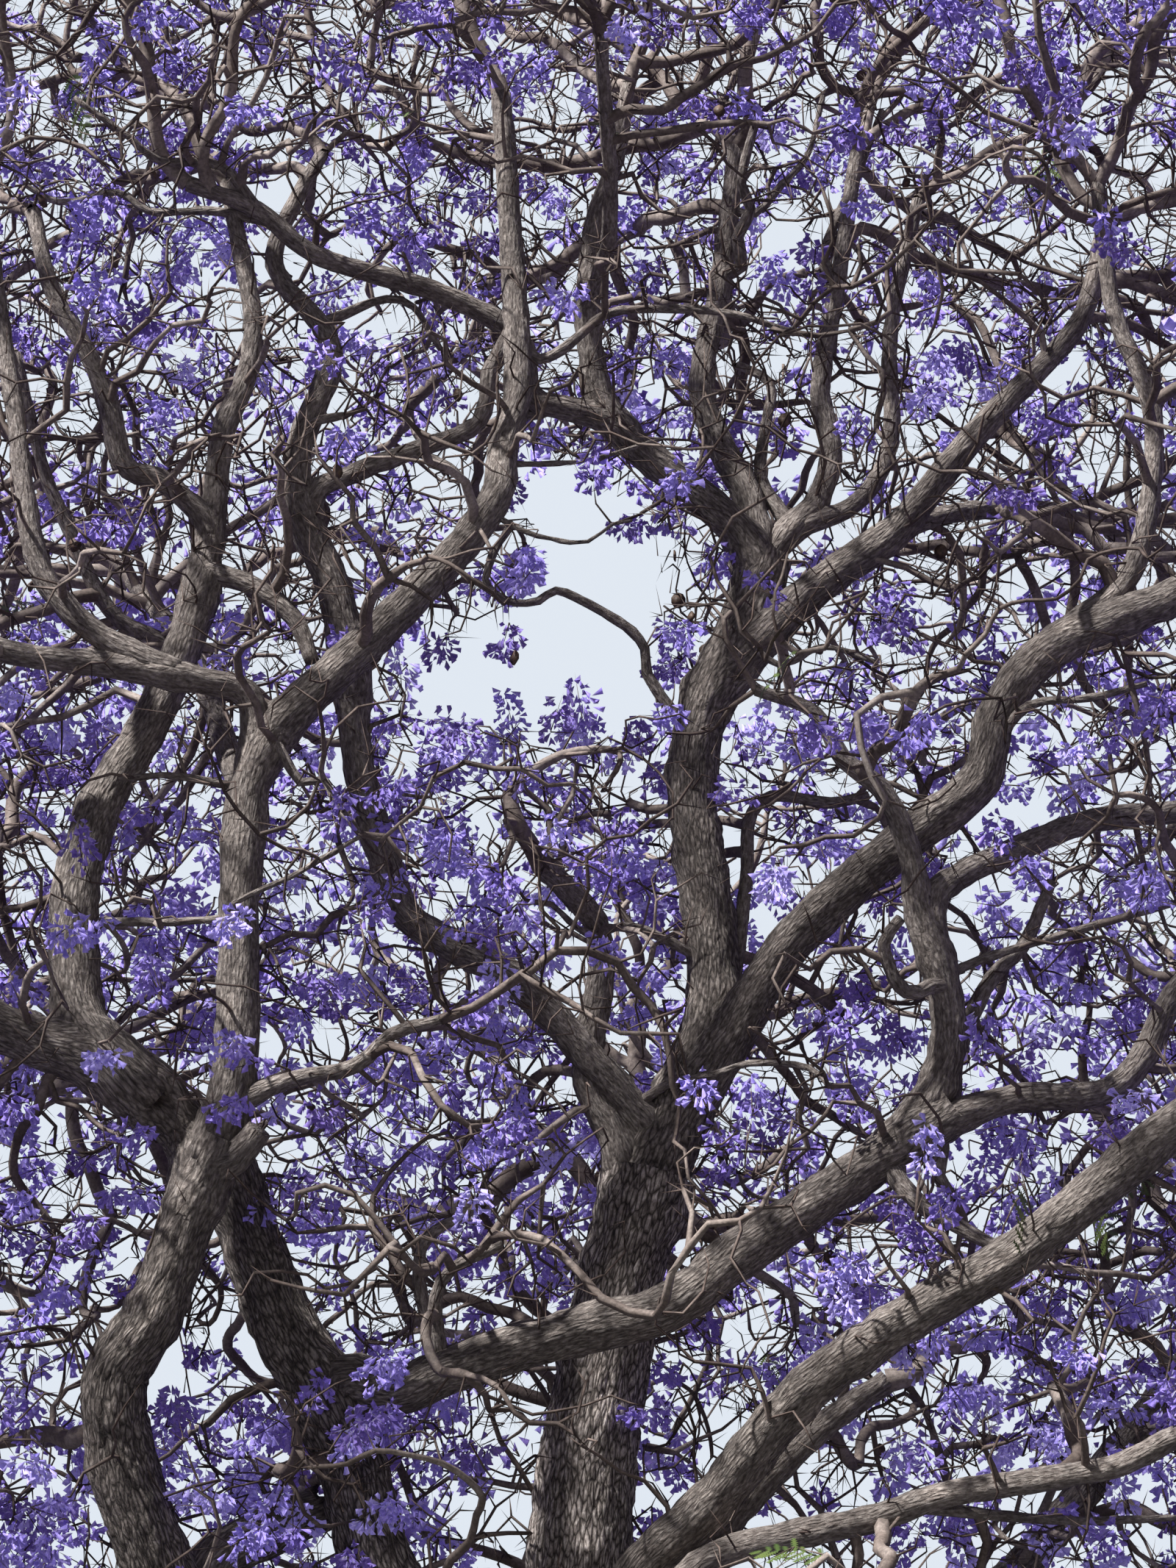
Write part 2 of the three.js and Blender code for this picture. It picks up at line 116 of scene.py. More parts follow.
# Where thin branches show in the photograph: the pixels that each runs through, from the limb that
# it leaves, its width there in pixels, and how much further away its far end is, in metres.
THIN_BRANCHES = [
    ([(905, 985), (880, 917), (877, 883), (860, 860), (820, 833), (783, 813), (757, 803),
      (733, 817), (700, 820), (673, 807), (660, 787), (683, 733), (697, 710)], 16, -0.3),
    ([(697, 712), (713, 723), (750, 733), (800, 737), (833, 713), (860, 708)], 8, -0.1),
    ([(690, 640), (793, 627), (900, 597)], 8, 0.3),
    ([(350, 985), (375, 1010), (410, 1065), (440, 1060), (455, 1090), (490, 1135)], 14, -0.2),
    ([(150, 1270), (300, 1250), (320, 1228), (400, 1190), (490, 1138)], 11, -0.3),
    ([(330, 1065), (230, 1055), (160, 1060)], 12, -0.2),
    ([(265, 775), (290, 780), (350, 800), (400, 840), (425, 900)], 34, -0.1),
    ([(267, 900), (213, 870), (160, 843), (125, 790), (100, 733), (63, 650), (50, 600),
      (20, 480)], 26, -0.4),
    ([(180, 660), (161, 633), (145, 565), (121, 484), (93, 420), (73, 384), (40, 300)], 22, 0.2),
    ([(800, 590), (753, 553), (717, 565), (717, 525), (725, 480)], 22, -0.1),
    ([(700, 480), (733, 488), (774, 468), (826, 428), (900, 420), (1000, 428), (1076, 452)],
     16, 0.2),
    ([(975, 385), (1008, 363), (1004, 323), (1020, 283), (1008, 250), (1030, 160)], 22, -0.3),
    ([(1010, 300), (1028, 290), (1064, 250), (1097, 214), (1120, 130)], 13, -0.2),
    ([(1055, 690), (1036, 650), (1044, 565), (1048, 521), (1004, 497)], 20, 0.3),
    ([(1130, 400), (1121, 355), (1137, 299), (1165, 242), (1200, 150)], 17, 0.2),
    ([(350, 260), (300, 226), (218, 218), (174, 186), (101, 133)], 15, -0.3),
    ([(360, 300), (291, 287), (202, 287), (161, 262), (81, 275), (20, 242)], 13, 0.2),
    ([(400, 600), (424, 577), (468, 565)], 18, -0.1),
    ([(455, 420), (545, 408), (600, 476)], 14, 0.2),
    ([(345, 1500), (400, 1467), (483, 1450), (533, 1407), (600, 1387)], 24, -0.3),
    ([(985, 1420), (995, 1350), (1003, 1300), (1015, 1200), (1033, 1090), (1130, 1092),
      (1180, 1083)], 24, 0.5),
    ([(1290, 1490), (1300, 1440), (1350, 1330), (1390, 1290), (1430, 1200)], 26, 0.3),
    ([(1290, 1350), (1300, 1320), (1450, 1270), (1600, 1228)], 15, 0.2),
    ([(1290, 1370), (1283, 1340), (1233, 1350), (1203, 1283), (1225, 1250)], 24, -0.3),
    ([(885, 1480), (913, 1473), (967, 1463), (1020, 1447), (1100, 1453), (1127, 1477)], 13,
     -0.5),
    ([(790, 1760), (800, 1753), (783, 1720), (753, 1690), (717, 1663)], 22, 0.2),
    ([(560, 1800), (573, 1700), (650, 1643)], 20, 0.2),
    ([(590, 1800), (600, 1743), (683, 1693)], 20, -0.2),
    ([(1210, 1600), (1240, 1627), (1320, 1677), (1400, 1720)], 26, -0.3),
    ([(1270, 1530), (1280, 1550), (1277, 1600), (1297, 1630)], 25, 0.1),
    ([(1250, 2090), (1440, 2068), (1600, 2065)], 15, 0.3),
    ([(935, 880), (1000, 860), (1060, 905), (1120, 880), (1190, 900)], 12, -0.4),
    ([(560, 620), (620, 640), (660, 700), (690, 690)], 10, -0.2),
    ([(1330, 1010), (1400, 960), (1480, 950), (1560, 930)], 14, -0.4),
    ([(920, 1300), (860, 1260), (800, 1270), (750, 1230)], 14, -0.5),
    ([(287, 1600), (322, 1572), (352, 1536)], 52, -0.1),
]

# Where the blossom is thickest, as ellipses in the photograph: middle across, middle down, half
# width, half height, and how many sprays it adds to a square metre there.
BLOSSOM_PLACES = [
    (680, 1300, 170, 330, 33), (540, 1080, 110, 150, 18), (890, 1220, 100, 110, 35),
    (465, 2000, 140, 130, 45), (265, 2020, 90, 130, 30), (60, 2050, 90, 110, 30),
    (360, 1480, 60, 90, 30), (1300, 1660, 150, 120, 25), (1400, 1950, 240, 210, 22),
    (1180, 890, 80, 90, 30), (1070, 760, 60, 60, 30), (980, 750, 100, 110, 25),
    (1295, 930, 70, 90, 20), (150, 1250, 180, 200, 20), (120, 1550, 160, 180, 20),
    (1450, 1300, 180, 180, 14), (720, 1640, 110, 130, 20), (130, 350, 140, 90, 12),
    (900, 380, 120, 80, 12), (1400, 500, 130, 90, 12), (560, 250, 150, 120, 8),
    (1200, 250, 170, 140, 8), (640, 780, 90, 60, 18), (920, 560, 50, 40, 20),
    (90, 1030, 100, 80, 20), (780, 1020, 140, 70, 30), (820, 2060, 110, 70, 22),
]

# Blossom that hangs in front of the limbs, in the same terms, and how near the viewer it may be.
FRONT_BLOSSOM = [
    (455, 1990, 100, 95, 100), (330, 2075, 50, 60, 60), (60, 2050, 80, 90, 40),
    (343, 1655, 35, 32, 70), (430, 1640, 48, 36, 70), (352, 1525, 36, 34, 70),
    (345, 1455, 60, 36, 50), (830, 1225, 50, 55, 40), (700, 775, 34, 30, 60),
    (925, 700, 34, 40, 60), (640, 1000, 90, 60, 30), (600, 1330, 120, 120, 25),
]
FRONT_DEPTHS = (-1.9, -1.2)

# Stretches of limb that show clear of twigs and blossom in the photograph: half the width kept
# clear, in pixels, and the pixels that the stretch runs through.
CLEAR_STRETCHES = [
    (52, [(349, 1532), (252, 1745), (145, 1861), (145, 1997), (223, 2133)]),
    (55, [(291, 1629), (330, 1726), (417, 1842), (490, 1900)]),
    (40, [(540, 1900), (679, 1803), (911, 1764), (1086, 1648), (1241, 1532)]),
    (80, [(834, 1480), (853, 1745), (795, 1939), (776, 2133)]),
    (48, [(873, 2133), (1047, 1900), (1241, 1774)]),
    (30, [(1028, 2055), (1163, 1939), (1260, 1890)]),
    (24, [(970, 2123), (1163, 2055), (1396, 2026), (1600, 1959)]),
    (38, [(1008, 1338), (1144, 1202), (1260, 1115), (1357, 1057)]),
    (28, [(1241, 1532), (1338, 1503), (1474, 1474), (1551, 1357), (1600, 1260)]),
    (28, [(1280, 1493), (1270, 1357), (1241, 1241), (1163, 1086)]),
    (28, [(339, 1480), (339, 1241), (349, 1060)]),
    (25, [(349, 1028), (465, 931), (582, 776), (669, 659)]),
    (35, [(116, 1357), (116, 1163), (213, 970), (271, 834)]),
    (36, [(970, 1435), (970, 1260), (931, 1086), (960, 900)]),
    (30, [(1057, 776), (1183, 717), (1338, 582), (1435, 523), (1513, 388)]),
    (20, [(776, 465), (582, 388), (388, 330), (233, 252)]),
    (32, [(1280, 1008), (1357, 892), (1600, 776)]),
    (30, [(1067, 717), (931, 620), (853, 523)]),
    (30, [(0, 890), (140, 910), (270, 925)]),
    (26, [(30, 560), (70, 740), (160, 850), (240, 880)]),
]

# How far apart the samples of a stretch are in pixels, and how much nearer the viewer a point has
# to be to stand in front of one.
CLEAR_STEP = 20
AHEAD = 0.05

# What share of the twigs and of the blossom is left out in front of a stretch, what share of the
# blossom between it and the sun, and how near that line the blossom has to be.
CLEAR_OF_TWIGS = 0.70
CLEAR_OF_BLOSSOM = 0.8
LIT_SHARE = 0.75
LIT_REACH = 0.20

# The way that the sun's light goes.
SUN_WAY = np.array((0.50, 0.31, -0.81))

SEED = 29


# Arithmetic on arrays of points.

def unit(vectors):
    """The vectors scaled to a length of one."""
    lengths = np.linalg.norm(vectors, axis=-1, keepdims=True)
    return vectors / np.maximum(lengths, 1e-9)


def between(values, low, high):
    """How far values are on the way from one to another, from 0 to 1."""
    return np.clip((values - low) / (high - low), 0, 1)


def lengths_along(line):
    """How far along a line each of its points is."""
    return np.concatenate([[0], np.cumsum(np.linalg.norm(np.diff(line, axis=0), axis=1))])


def seen(across, down, depth):
    """The point at a pixel of the photograph and at a depth, which is its y."""
    ray = (FORWARD * SIGHT_LENGTH + RIGHT * (across - PHOTO_WIDE / 2) * PIXEL
           + UPWARD * (PHOTO_HIGH / 2 - down) * PIXEL)
    return EYE + ray * (depth - EYE[1]) / ray[1]


def pixels(points):
    """The pixels of the photograph at which points are seen, as across and down."""
    rays = points - EYE
    scale = SIGHT_LENGTH / (rays @ FORWARD) / PIXEL
    across = PHOTO_WIDE / 2 + (rays @ RIGHT) * scale
    down = PHOTO_HIGH / 2 - (rays @ UPWARD) * scale
    return across, down


def framed(points, margin=0):
    """Whether each point is seen in the photograph's frame, or in a margin round it."""
    across, down = pixels(points)
    return ((across > -margin) & (across < PHOTO_WIDE + margin)
            & (down > -margin) & (down < PHOTO_HIGH + margin))


def lattice(cells, seed):
    """A repeatable number from 0 to 1 for each whole-numbered cell."""
    mixed = cells[..., 0] * 73856093 ^ cells[..., 1] * 19349663 ^ cells[..., 2] * 83492791
    mixed = (mixed + seed * 40503) & 0x7FFFFFFF
    mixed = ((mixed ^ (mixed >> 13)) * 1274126177) & 0x7FFFFFFF
    mixed = ((mixed ^ (mixed >> 15)) * 668265263) & 0x7FFFFFFF
    return ((mixed >> 7) & 0xFFFF) / 65535.0


def cloud(points, seed):
    """Smooth noise from 0 to 1 with bumps about one unit across."""
    cells = np.floor(points).astype(np.int64)
    share = points - cells
    share = share * share * (3 - 2 * share)
    total = np.zeros(len(points))
    for corner in np.ndindex(2, 2, 2):
        weight = np.prod(np.where(corner, share, 1 - share), axis=1)
        total += weight * lattice(cells + np.array(corner), seed)
    return total


def drift(points, seed):
    """Smooth noise as a vector, each part from -1 to 1."""
    return np.stack([2 * cloud(points, seed + k) - 1 for k in range(3)], axis=1)


def cracks(points, seed):
    """How far each point is from the edges of a pattern of plates about one unit across."""
    cells = np.floor(points).astype(np.int64)
    first = np.full(len(points), 9.0)
    second = np.full(len(points), 9.0)
    for shift in np.ndindex(3, 3, 3):
        cell = cells + np.array(shift) - 1
        middle = cell + np.stack([lattice(cell, seed + k) for k in range(3)], axis=1)
        away = np.linalg.norm(points - middle, axis=1)
        second = np.minimum(second, np.maximum(first, away))
        first = np.minimum(first, away)
    return second - first


def in_sky_gap(points, grow=1.0):
    """Whether each point is seen in a gap that shows sky."""
    across, down = pixels(points)
    inside = np.zeros(len(points), bool)
    for middle_across, middle_down, half_wide, half_high, turn in SKY_GAPS:
        cosine = math.cos(math.radians(turn))
        sine = math.sin(math.radians(turn))
        x = across - middle_across
        y = down - middle_down
        long = (x * cosine + y * sine) / (half_wide * grow)
        tall = (y * cosine - x * sine) / (half_high * grow)
        inside |= long * long + tall * tall < 1
    return inside


class ClearStretches:
    """Where the photograph shows limbs clear, as samples with their half widths and depths."""

    def __init__(self, limbs):
        line = np.concatenate([limb.line for limb in limbs.values()])
        across, down = pixels(line)
        samples = []
        for half_wide, places in CLEAR_STRETCHES:
            for start, end in zip(places, places[1:]):
                count = max(2, round(math.dist(start, end) / CLEAR_STEP))
                for share in np.arange(count) / count:
                    place = np.array(start) * (1 - share) + np.array(end) * share
                    gap = np.hypot(across - place[0], down - place[1])
                    depth = line[gap < gap.min() + CLEAR_STEP, 1].min()
                    samples.append((*place, half_wide, depth))
        self.samples = np.array(samples)
        self.places = np.array([seen(a, d, y) for a, d, _, y in samples])

    def shaded_by(self, points):
        """Whether each point stands between a clear stretch and the sun."""
        to_sun = -SUN_WAY / np.linalg.norm(SUN_WAY)
        shaded = np.zeros(len(points), bool)
        for place in self.places:
            rel = points - place
            along = rel @ to_sun
            away = np.linalg.norm(rel - along[:, None] * to_sun, axis=1)
            shaded |= (along > LIT_REACH) & (away < LIT_REACH)
        return shaded

    def hidden_by(self, points, margin=0.0):
        """Whether each point stands in front of a clear stretch."""
        across, down = pixels(points)
        place_across, place_down, half_wide, depth = self.samples.T
        gap = np.hypot(across[:, None] - place_across, down[:, None] - place_down)
        ahead = points[:, 1][:, None] < depth + AHEAD
        return np.any((gap < half_wide + margin) & ahead, axis=1)


# Pieces made from arrays.

NO_FOURS = np.empty((0, 4), int)


def new_piece(name, places, threes, fours, materials, kinds=None, smooth=True):
    """A mesh object from its vertices, its triangles and its four-sided faces."""
    corners = np.concatenate([threes.ravel(), fours.ravel()]).astype(np.int32)
    starts = np.concatenate([np.arange(len(threes)) * 3,
                             len(threes) * 3 + np.arange(len(fours)) * 4]).astype(np.int32)
    mesh = bpy.data.meshes.new(name)
    mesh.vertices.add(len(places))
    mesh.vertices.foreach_set("co", places.astype(np.float32).ravel())
    mesh.loops.add(len(corners))
    mesh.loops.foreach_set("vertex_index", corners)
    mesh.polygons.add(len(starts))
    mesh.polygons.foreach_set("loop_start", starts)
    for material in materials:
        mesh.materials.append(material)
    if kinds is not None:
        mesh.polygons.foreach_set("material_index", kinds.astype(np.int32))
    mesh.update(calc_edges=True)
    if smooth:
        mesh.shade_smooth()
    piece = bpy.data.objects.new(name, mesh)
    bpy.context.scene.collection.objects.link(piece)
    return piece


def give_points(piece, name, values):
    """Stores a number or a vector at each vertex of a piece, for its material."""
    if values.ndim == 1:
        values = np.stack([values] * 3, axis=1)
    attribute = piece.data.attributes.new(name, "FLOAT_VECTOR", "POINT")
    attribute.data.foreach_set("vector", values.astype(np.float32).ravel())


def put_on_tree(piece, nodes):
    """Makes a piece ride the tree's body and stand for the nodes that it replaces."""
    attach(piece, "root")
    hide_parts(*nodes)


def solid_tree(name):
    """A node's solid, for finding the places on it that are nearest or that a ray meets."""
    mesh = NODES[name].data
    return BVHTree.FromPolygons([tuple(v.co) for v in mesh.vertices],
                                [tuple(p.vertices) for p in mesh.polygons])


# Tracing the limbs' solids.

TUBE_SIDES = (5, 6, 9)
TIP_HEIGHT = (0.55, 0.65)
TIP_UNEVEN = 0.03


class Limb:
    """A limb as a line of points from its foot to its tip, with the radius at each."""

    def __init__(self, name, line, radii):
        self.name = name
        self.line = np.array(line)
        self.radii = np.array(radii)


def welded(node):
    """The places of a node's vertices, each once, and the set of neighbours of each."""
    mesh = node.data
    places = np.empty(len(mesh.vertices) * 3)
    mesh.vertices.foreach_get("co", places)
    places, index = np.unique(places.reshape(-1, 3).round(5), axis=0, return_inverse=True)
    index = index.reshape(-1)
    neighbours = [set() for _ in places]
    for polygon in mesh.polygons:
        corners = [int(index[v]) for v in polygon.vertices]
        for a, b in zip(corners, corners[1:] + corners[:1]):
            neighbours[a].add(b)
            neighbours[b].add(a)
    return places, neighbours


def tip_rings(places, neighbours):
    """The rings of vertices round a limb, from its tip back to where its parent cuts it."""
    best = []
    for vertex, near in enumerate(neighbours):
        if len(near) not in TUBE_SIDES or any(len(neighbours[v] & near) != 2 for v in near):
            continue
        ring = places[list(near)]
        reach = np.linalg.norm(ring - ring.mean(0), axis=1)
        height = np.linalg.norm(places[vertex] - ring.mean(0)) / reach.mean()
        if reach.std() > TIP_UNEVEN * reach.mean() or not TIP_HEIGHT[0] < height < TIP_HEIGHT[1]:
            continue
        best = max(best, rings_from(neighbours, vertex), key=len)
    return best


def rings_from(neighbours, tip):
    ring = neighbours[tip]
    used = {tip} | ring
    rings = [ring]
    while True:
        following = set().union(*(neighbours[v] for v in ring)) - used
        if len(following) != len(ring):
            return rings
        rings.append(following)
        used |= following
        ring = following


def trace_limb(name, parent):
    """Finds a limb's line and radii from its solid, and carries it on into its parent."""
    places, neighbours = welded(NODES[name])
    rings = tip_rings(places, neighbours)
    line = [places[list(ring)].mean(0) for ring in rings]
    radii = [np.linalg.norm(places[list(ring)] - middle, axis=1).mean()
             for ring, middle in zip(rings, line)]
    used = set().union(*rings)
    rest = [v for v in range(len(places)) if v not in used and v not in neighbours[v]]
    backward = unit(line[-1] - line[-2]) if len(line) > 1 else -UP
    behind = [v for v in rest if (places[v] - line[-1]) @ backward > 0.5 * radii[-1]]
    if behind:
        line.append(places[behind].mean(0))
        radii.append(radii[-1] * 1.03)
    gaps = np.linalg.norm(parent.line - line[-1], axis=1)
    foot = max(int(gaps.argmin()) - 1, 0)
    line.append(parent.line[foot])
    radii.append(min(radii[-1] * 1.05, parent.radii[foot] * 0.95))
    return Limb(name, line[::-1], radii[::-1])


def curve_through(line, radii, spacing):
    """A finer line through the same points, with its radii."""
    line = np.array(line)
    padded = np.vstack([2 * line[0] - line[1], line, 2 * line[-1] - line[-2]])
    points = []
    widths = []
    for i in range(len(line) - 1):
        before, start, end, after = padded[i:i + 4]
        span = np.linalg.norm(end - start)
        leave = (end - before) / max(np.linalg.norm(end - before), 1e-6) * span
        arrive = (after - start) / max(np.linalg.norm(after - start), 1e-6) * span
        count = max(1, round(span / spacing))
        for t in np.arange(count) / count:
            a = 2 * t**3 - 3 * t**2 + 1
            b = t**3 - 2 * t**2 + t
            c = 3 * t**2 - 2 * t**3
            d = t**3 - t**2
            points.append(a * start + b * leave + c * end + d * arrive)
            widths.append(radii[i] + (radii[i + 1] - radii[i]) * t)
    points.append(line[-1])
    widths.append(radii[-1])
    return np.array(points), np.array(widths)


LIMB_SPACING = 0.12
TRUNK_RAYS = 64
TRUNK_SPACING = 0.024
SHOULDER_GAP = 0.05


def trunk_profile():
    """The trunk's middle at each of a row of heights, and its radius all round there."""
    places, _ = welded(NODES["trunk"])
    tree = solid_tree("trunk")
    top = places[places[:, 2].argmax()]
    shoulder = places[:, 2][places[:, 2] < top[2] - SHOULDER_GAP].max()
    heights = np.arange(0, shoulder, TRUNK_SPACING)
    heights[0] = 0.002
    middles = np.outer(heights / top[2], top * (1, 1, 0)) + np.outer(heights, UP)
    profile = []
    for middle in middles:
        row = []
        for k in range(TRUNK_RAYS):
            angle = 2 * math.pi * k / TRUNK_RAYS
            way = Vector((math.cos(angle), math.sin(angle), 0))
            hit = tree.ray_cast(Vector(middle), way)
            row.append(hit[3] if hit[0] is not None else profile[-1][k])
        profile.append(row)
    middles[0][2] = 0
    return middles, np.array(profile)


# The limbs that thin towards their tip: to what share of their radius, and along what length.
SLIMMER = {"left_leader": (0.76, 0.8)}

# The limbs that leave their parent's far side: how far back each is moved, and along what length.
SET_BACK = {"left_bough": (0.15, 1.6)}
SET_BACK_START = 0.25


def moved_back(limb, push, reach):
    """A limb whose foot leaves the side of its parent that is turned away from the viewer."""
    length = lengths_along(limb.line)
    share = np.clip(1 - length / reach, 0, 1) * np.clip(length / SET_BACK_START, 0, 1)
    limb.line[:, 1] += push * share
    return limb


def slimmed(limb, share, reach):
    """A limb that thins evenly towards its tip, where the next one carries it on."""
    steps = np.linalg.norm(np.diff(limb.line, axis=0), axis=1)
    left = np.append(np.cumsum(steps[::-1])[::-1], 0)
    limb.radii = limb.radii * (1 - (1 - share) * np.clip(1 - left / reach, 0, 1))
    return limb


def trace_limbs():
    middles, profile = trunk_profile()
    widths = profile.mean(1)
    limbs = {"trunk": Limb("trunk", middles[::4], widths[::4])}
    waiting = dict(GROWS_FROM)
    while waiting:
        ready = [name for name, parent in waiting.items() if parent in limbs]
        for name in ready:
            limb = trace_limb(name, limbs[waiting.pop(name)])
            limb.line, limb.radii = curve_through(limb.line, limb.radii, LIMB_SPACING)
            limb = slimmed(limb, *SLIMMER.get(name, (1, 1)))
            limbs[name] = moved_back(limb, *SET_BACK.get(name, (0, 1)))
    return limbs, middles, profile


# Bark.

BARK_AROUND = 0.023
BARK_ALONG = 0.037
THIN_AROUND = 0.028
THIN_ALONG = 0.048
THIN_LIMB = 0.12
BLEND = 1.3
SEAM_REACH = 0.35
PLATE_WIDE = 0.028
PLATE_LONG = 0.120
FURROW_WIDE = 0.030
FURROW_LONG = 0.100
RIPPLE_SIZE = (0.05, 0.05, 0.09)
LUMP_HEIGHT = 0.16
RIPPLE_HEIGHT = 0.012
PLATE_HEIGHT = 0.014
FURROW_DEPTH = 0.009
WANDER = 0.14
WANDER_FADE = 0.4
FEWEST_SIDES = 10
MOST_SIDES = 110
TRUNK_SIDES = 176
TRUNK_BLUR = 7
TRUNK_DOME = 0.12

# The radii between which bark grows from young to old, and from dark to pale: the pale end is
# partly the trunk's own paler grey bark and partly painted light that brightens the trunk and
# thickest limbs where the crown shades them.
YOUNG = 0.035
OLD = 0.15
PALE_AND_PAINTED_LIGHT_FROM = 0.14
PALE_AND_PAINTED_LIGHT_TO = 0.21


def outside(limb, points):
    """How far points are outside a limb, and the limb's radius at the nearest place."""
    start = limb.line[:-1]
    span = limb.line[1:] - start
    rel = points[:, None] - start[None]
    share = np.clip((rel * span).sum(2) / (span * span).sum(1), 0, 1)
    away = np.linalg.norm(rel - share[..., None] * span, axis=2)
    radius = limb.radii[:-1] + (limb.radii[1:] - limb.radii[:-1]) * share
    gap = away - radius
    nearest = gap.argmin(1)
    rows = np.arange(len(points))
    return gap[rows, nearest], radius[rows, nearest]


def swell_at_joints(limb, points, outward, widths, limbs):
    """Points moved outward where another limb meets this one, which makes a smooth collar."""
    push = np.zeros(len(points))
    low = points.min(0)
    high = points.max(0)
    for other in limbs.values():
        if limb.name not in (GROWS_FROM.get(other.name), other.name) and (
                GROWS_FROM.get(limb.name) != other.name) or other is limb:
            continue
        room = SEAM_REACH + other.radii.max()
        if np.any(other.line.max(0) + room < low) or np.any(other.line.min(0) - room > high):
            continue
        gap, radius = outside(other, points)
        reach = BLEND * np.minimum(widths, radius)
        push = np.maximum(push, reach / 4 * np.clip(1 - np.abs(gap) / reach, 0, 1) ** 2)
    return points + outward * push[:, None]


def relief(grain, widths, seed):
    """How far bark stands out: lumps on every limb, plates and furrows on the older ones."""
    age = between(widths, YOUNG, OLD)
    lumps = cloud(grain * (1.1 / widths)[:, None] + seed, seed) - 0.5
    ripples = cloud(grain / RIPPLE_SIZE + seed, seed + 5) - 0.5
    plates = np.clip(cracks(grain / (PLATE_WIDE, PLATE_WIDE, PLATE_LONG), seed + 9) / 0.4, 0, 1)
    furrows = 1 - np.abs(2 * cloud(grain / (FURROW_WIDE, FURROW_WIDE, FURROW_LONG), seed + 13) - 1)
    scale = 0.3 + 0.7 * age
    return (LUMP_HEIGHT * widths * lumps + RIPPLE_HEIGHT * scale * ripples
            + PLATE_HEIGHT * scale * (plates - 0.7) - FURROW_DEPTH * age * furrows**3)


KNOT_HOLES = {"left_bough": (214, 1514, 0.060)}
BROKEN_LIMBS = ("broken_limb",)


def knot_hole(limb, points, outward):
    """The points with a knot hole sunk in them where one shows, and how hollow each is."""
    hollow = np.zeros(len(points))
    if limb.name not in KNOT_HOLES:
        return points, hollow
    place_across, place_down, radius = KNOT_HOLES[limb.name]
    across, down = pixels(points)
    gap = np.hypot(across - place_across, down - place_down) * PIXEL
    facing = np.where(gap < radius, points[:, 1], 99.0)
    centre = points[facing.argmin()] if facing.min() < 99 else points[gap.argmin()]
    away = np.linalg.norm(points - centre, axis=1) / radius
    hollow = np.clip(1.4 - away, 0, 1)
    rim = np.exp(-((away - 1.7) / 0.5) ** 2)
    return points + outward * (0.016 * rim - 0.06 * hollow)[:, None], hollow


def tube_sides(line):
    """Two directions across a line at each of its points."""
    ahead = unit(np.gradient(line, axis=0))
    side = np.cross(ahead[0], UP if abs(ahead[0][2]) < 0.8 else RIGHT)
    sides = []
    for along in ahead:
        side = unit(side - along * (side @ along))
        sides.append(side)
    sides = np.array(sides)
    return sides, np.cross(ahead, sides)


def rings_round(angles, side, third):
    """Directions all round each point of a line, from the two across it."""
    return (np.cos(angles)[None, :, None] * side[:, None]
            + np.sin(angles)[None, :, None] * third[:, None])


def ring_faces(rows, count):
    """Four-sided faces that join rows of vertices into a tube."""
    row = np.arange(rows - 1)[:, None] * count
    k = np.arange(count)[None]
    following = (k + 1) % count
    faces = np.stack([row + k, row + following, row + count + following, row + count + k], axis=2)
    return faces.reshape(-1, 4)


def cap_faces(ring, middle, turned):
    """Triangles that close a ring of vertices onto one in its middle."""
    following = np.roll(ring, -1)
    faces = np.stack([ring, following, np.full(len(ring), middle)], axis=1)
    return faces[:, ::-1] if turned else faces


def end_caps(rows, count):
    """The triangles that close a tube's two ends, onto the last two of its vertices."""
    foot = np.arange(count)
    return np.vstack([cap_faces(foot, rows * count, True),
                      cap_faces(foot + (rows - 1) * count, rows * count + 1, False)])


def bark_tube(limb, limbs, seed):
    """The bark of one limb: places, faces, and its grain, radius and hollow at each place."""
    widest = limb.radii.max()
    around = THIN_AROUND if widest < THIN_LIMB else BARK_AROUND
    along = THIN_ALONG if widest < THIN_LIMB else BARK_ALONG
    line, radii = curve_through(limb.line, limb.radii, along)
    length = lengths_along(line)
    fade = np.clip(np.minimum(length, length[-1] - length) / WANDER_FADE, 0, 1)
    line = line + drift(line / (7 * widest) + seed, seed) * (WANDER * radii * fade)[:, None]
    count = int(np.clip(round(2 * math.pi * widest / around), FEWEST_SIDES, MOST_SIDES))
    angles = 2 * math.pi * np.arange(count) / count
    outward = rings_round(angles, *tube_sides(line))
    points = (line[:, None] + outward * radii[:, None, None]).reshape(-1, 3)
    outward = outward.reshape(-1, 3)
    widths = np.repeat(radii, count)
    grain = np.stack([np.tile(np.cos(angles), len(line)) * widths,
                      np.tile(np.sin(angles), len(line)) * widths,
                      np.repeat(length, count)], axis=1)
    points = swell_at_joints(limb, points, outward, widths, limbs)
    points = points + outward * relief(grain, widths, seed)[:, None]
    points, hollow = knot_hole(limb, points, outward)
    ahead = unit(line[-1] - line[-2])
    tip = line[-1] + ahead * radii[-1] * 0.25
    if limb.name in BROKEN_LIMBS:
        jagged = 1.3 * cloud(points[-count:] / (0.4 * radii[-1]), seed) - 0.3
        points[-count:] += jagged[:, None] * ahead * radii[-1]
        tip = line[-1] - ahead * radii[-1] * 0.5
        hollow[-count:] = 0.45
    points = np.vstack([points, line[0], tip])
    hollow = np.append(hollow, [0, limb.name in BROKEN_LIMBS])
    grain = np.vstack([grain, grain[0] * 0.2, grain[-1] * 0.2])
    rows = len(line)
    widths = np.append(widths, [radii[0], radii[-1]])
    return points, end_caps(rows, count), ring_faces(rows, count), grain, widths, hollow


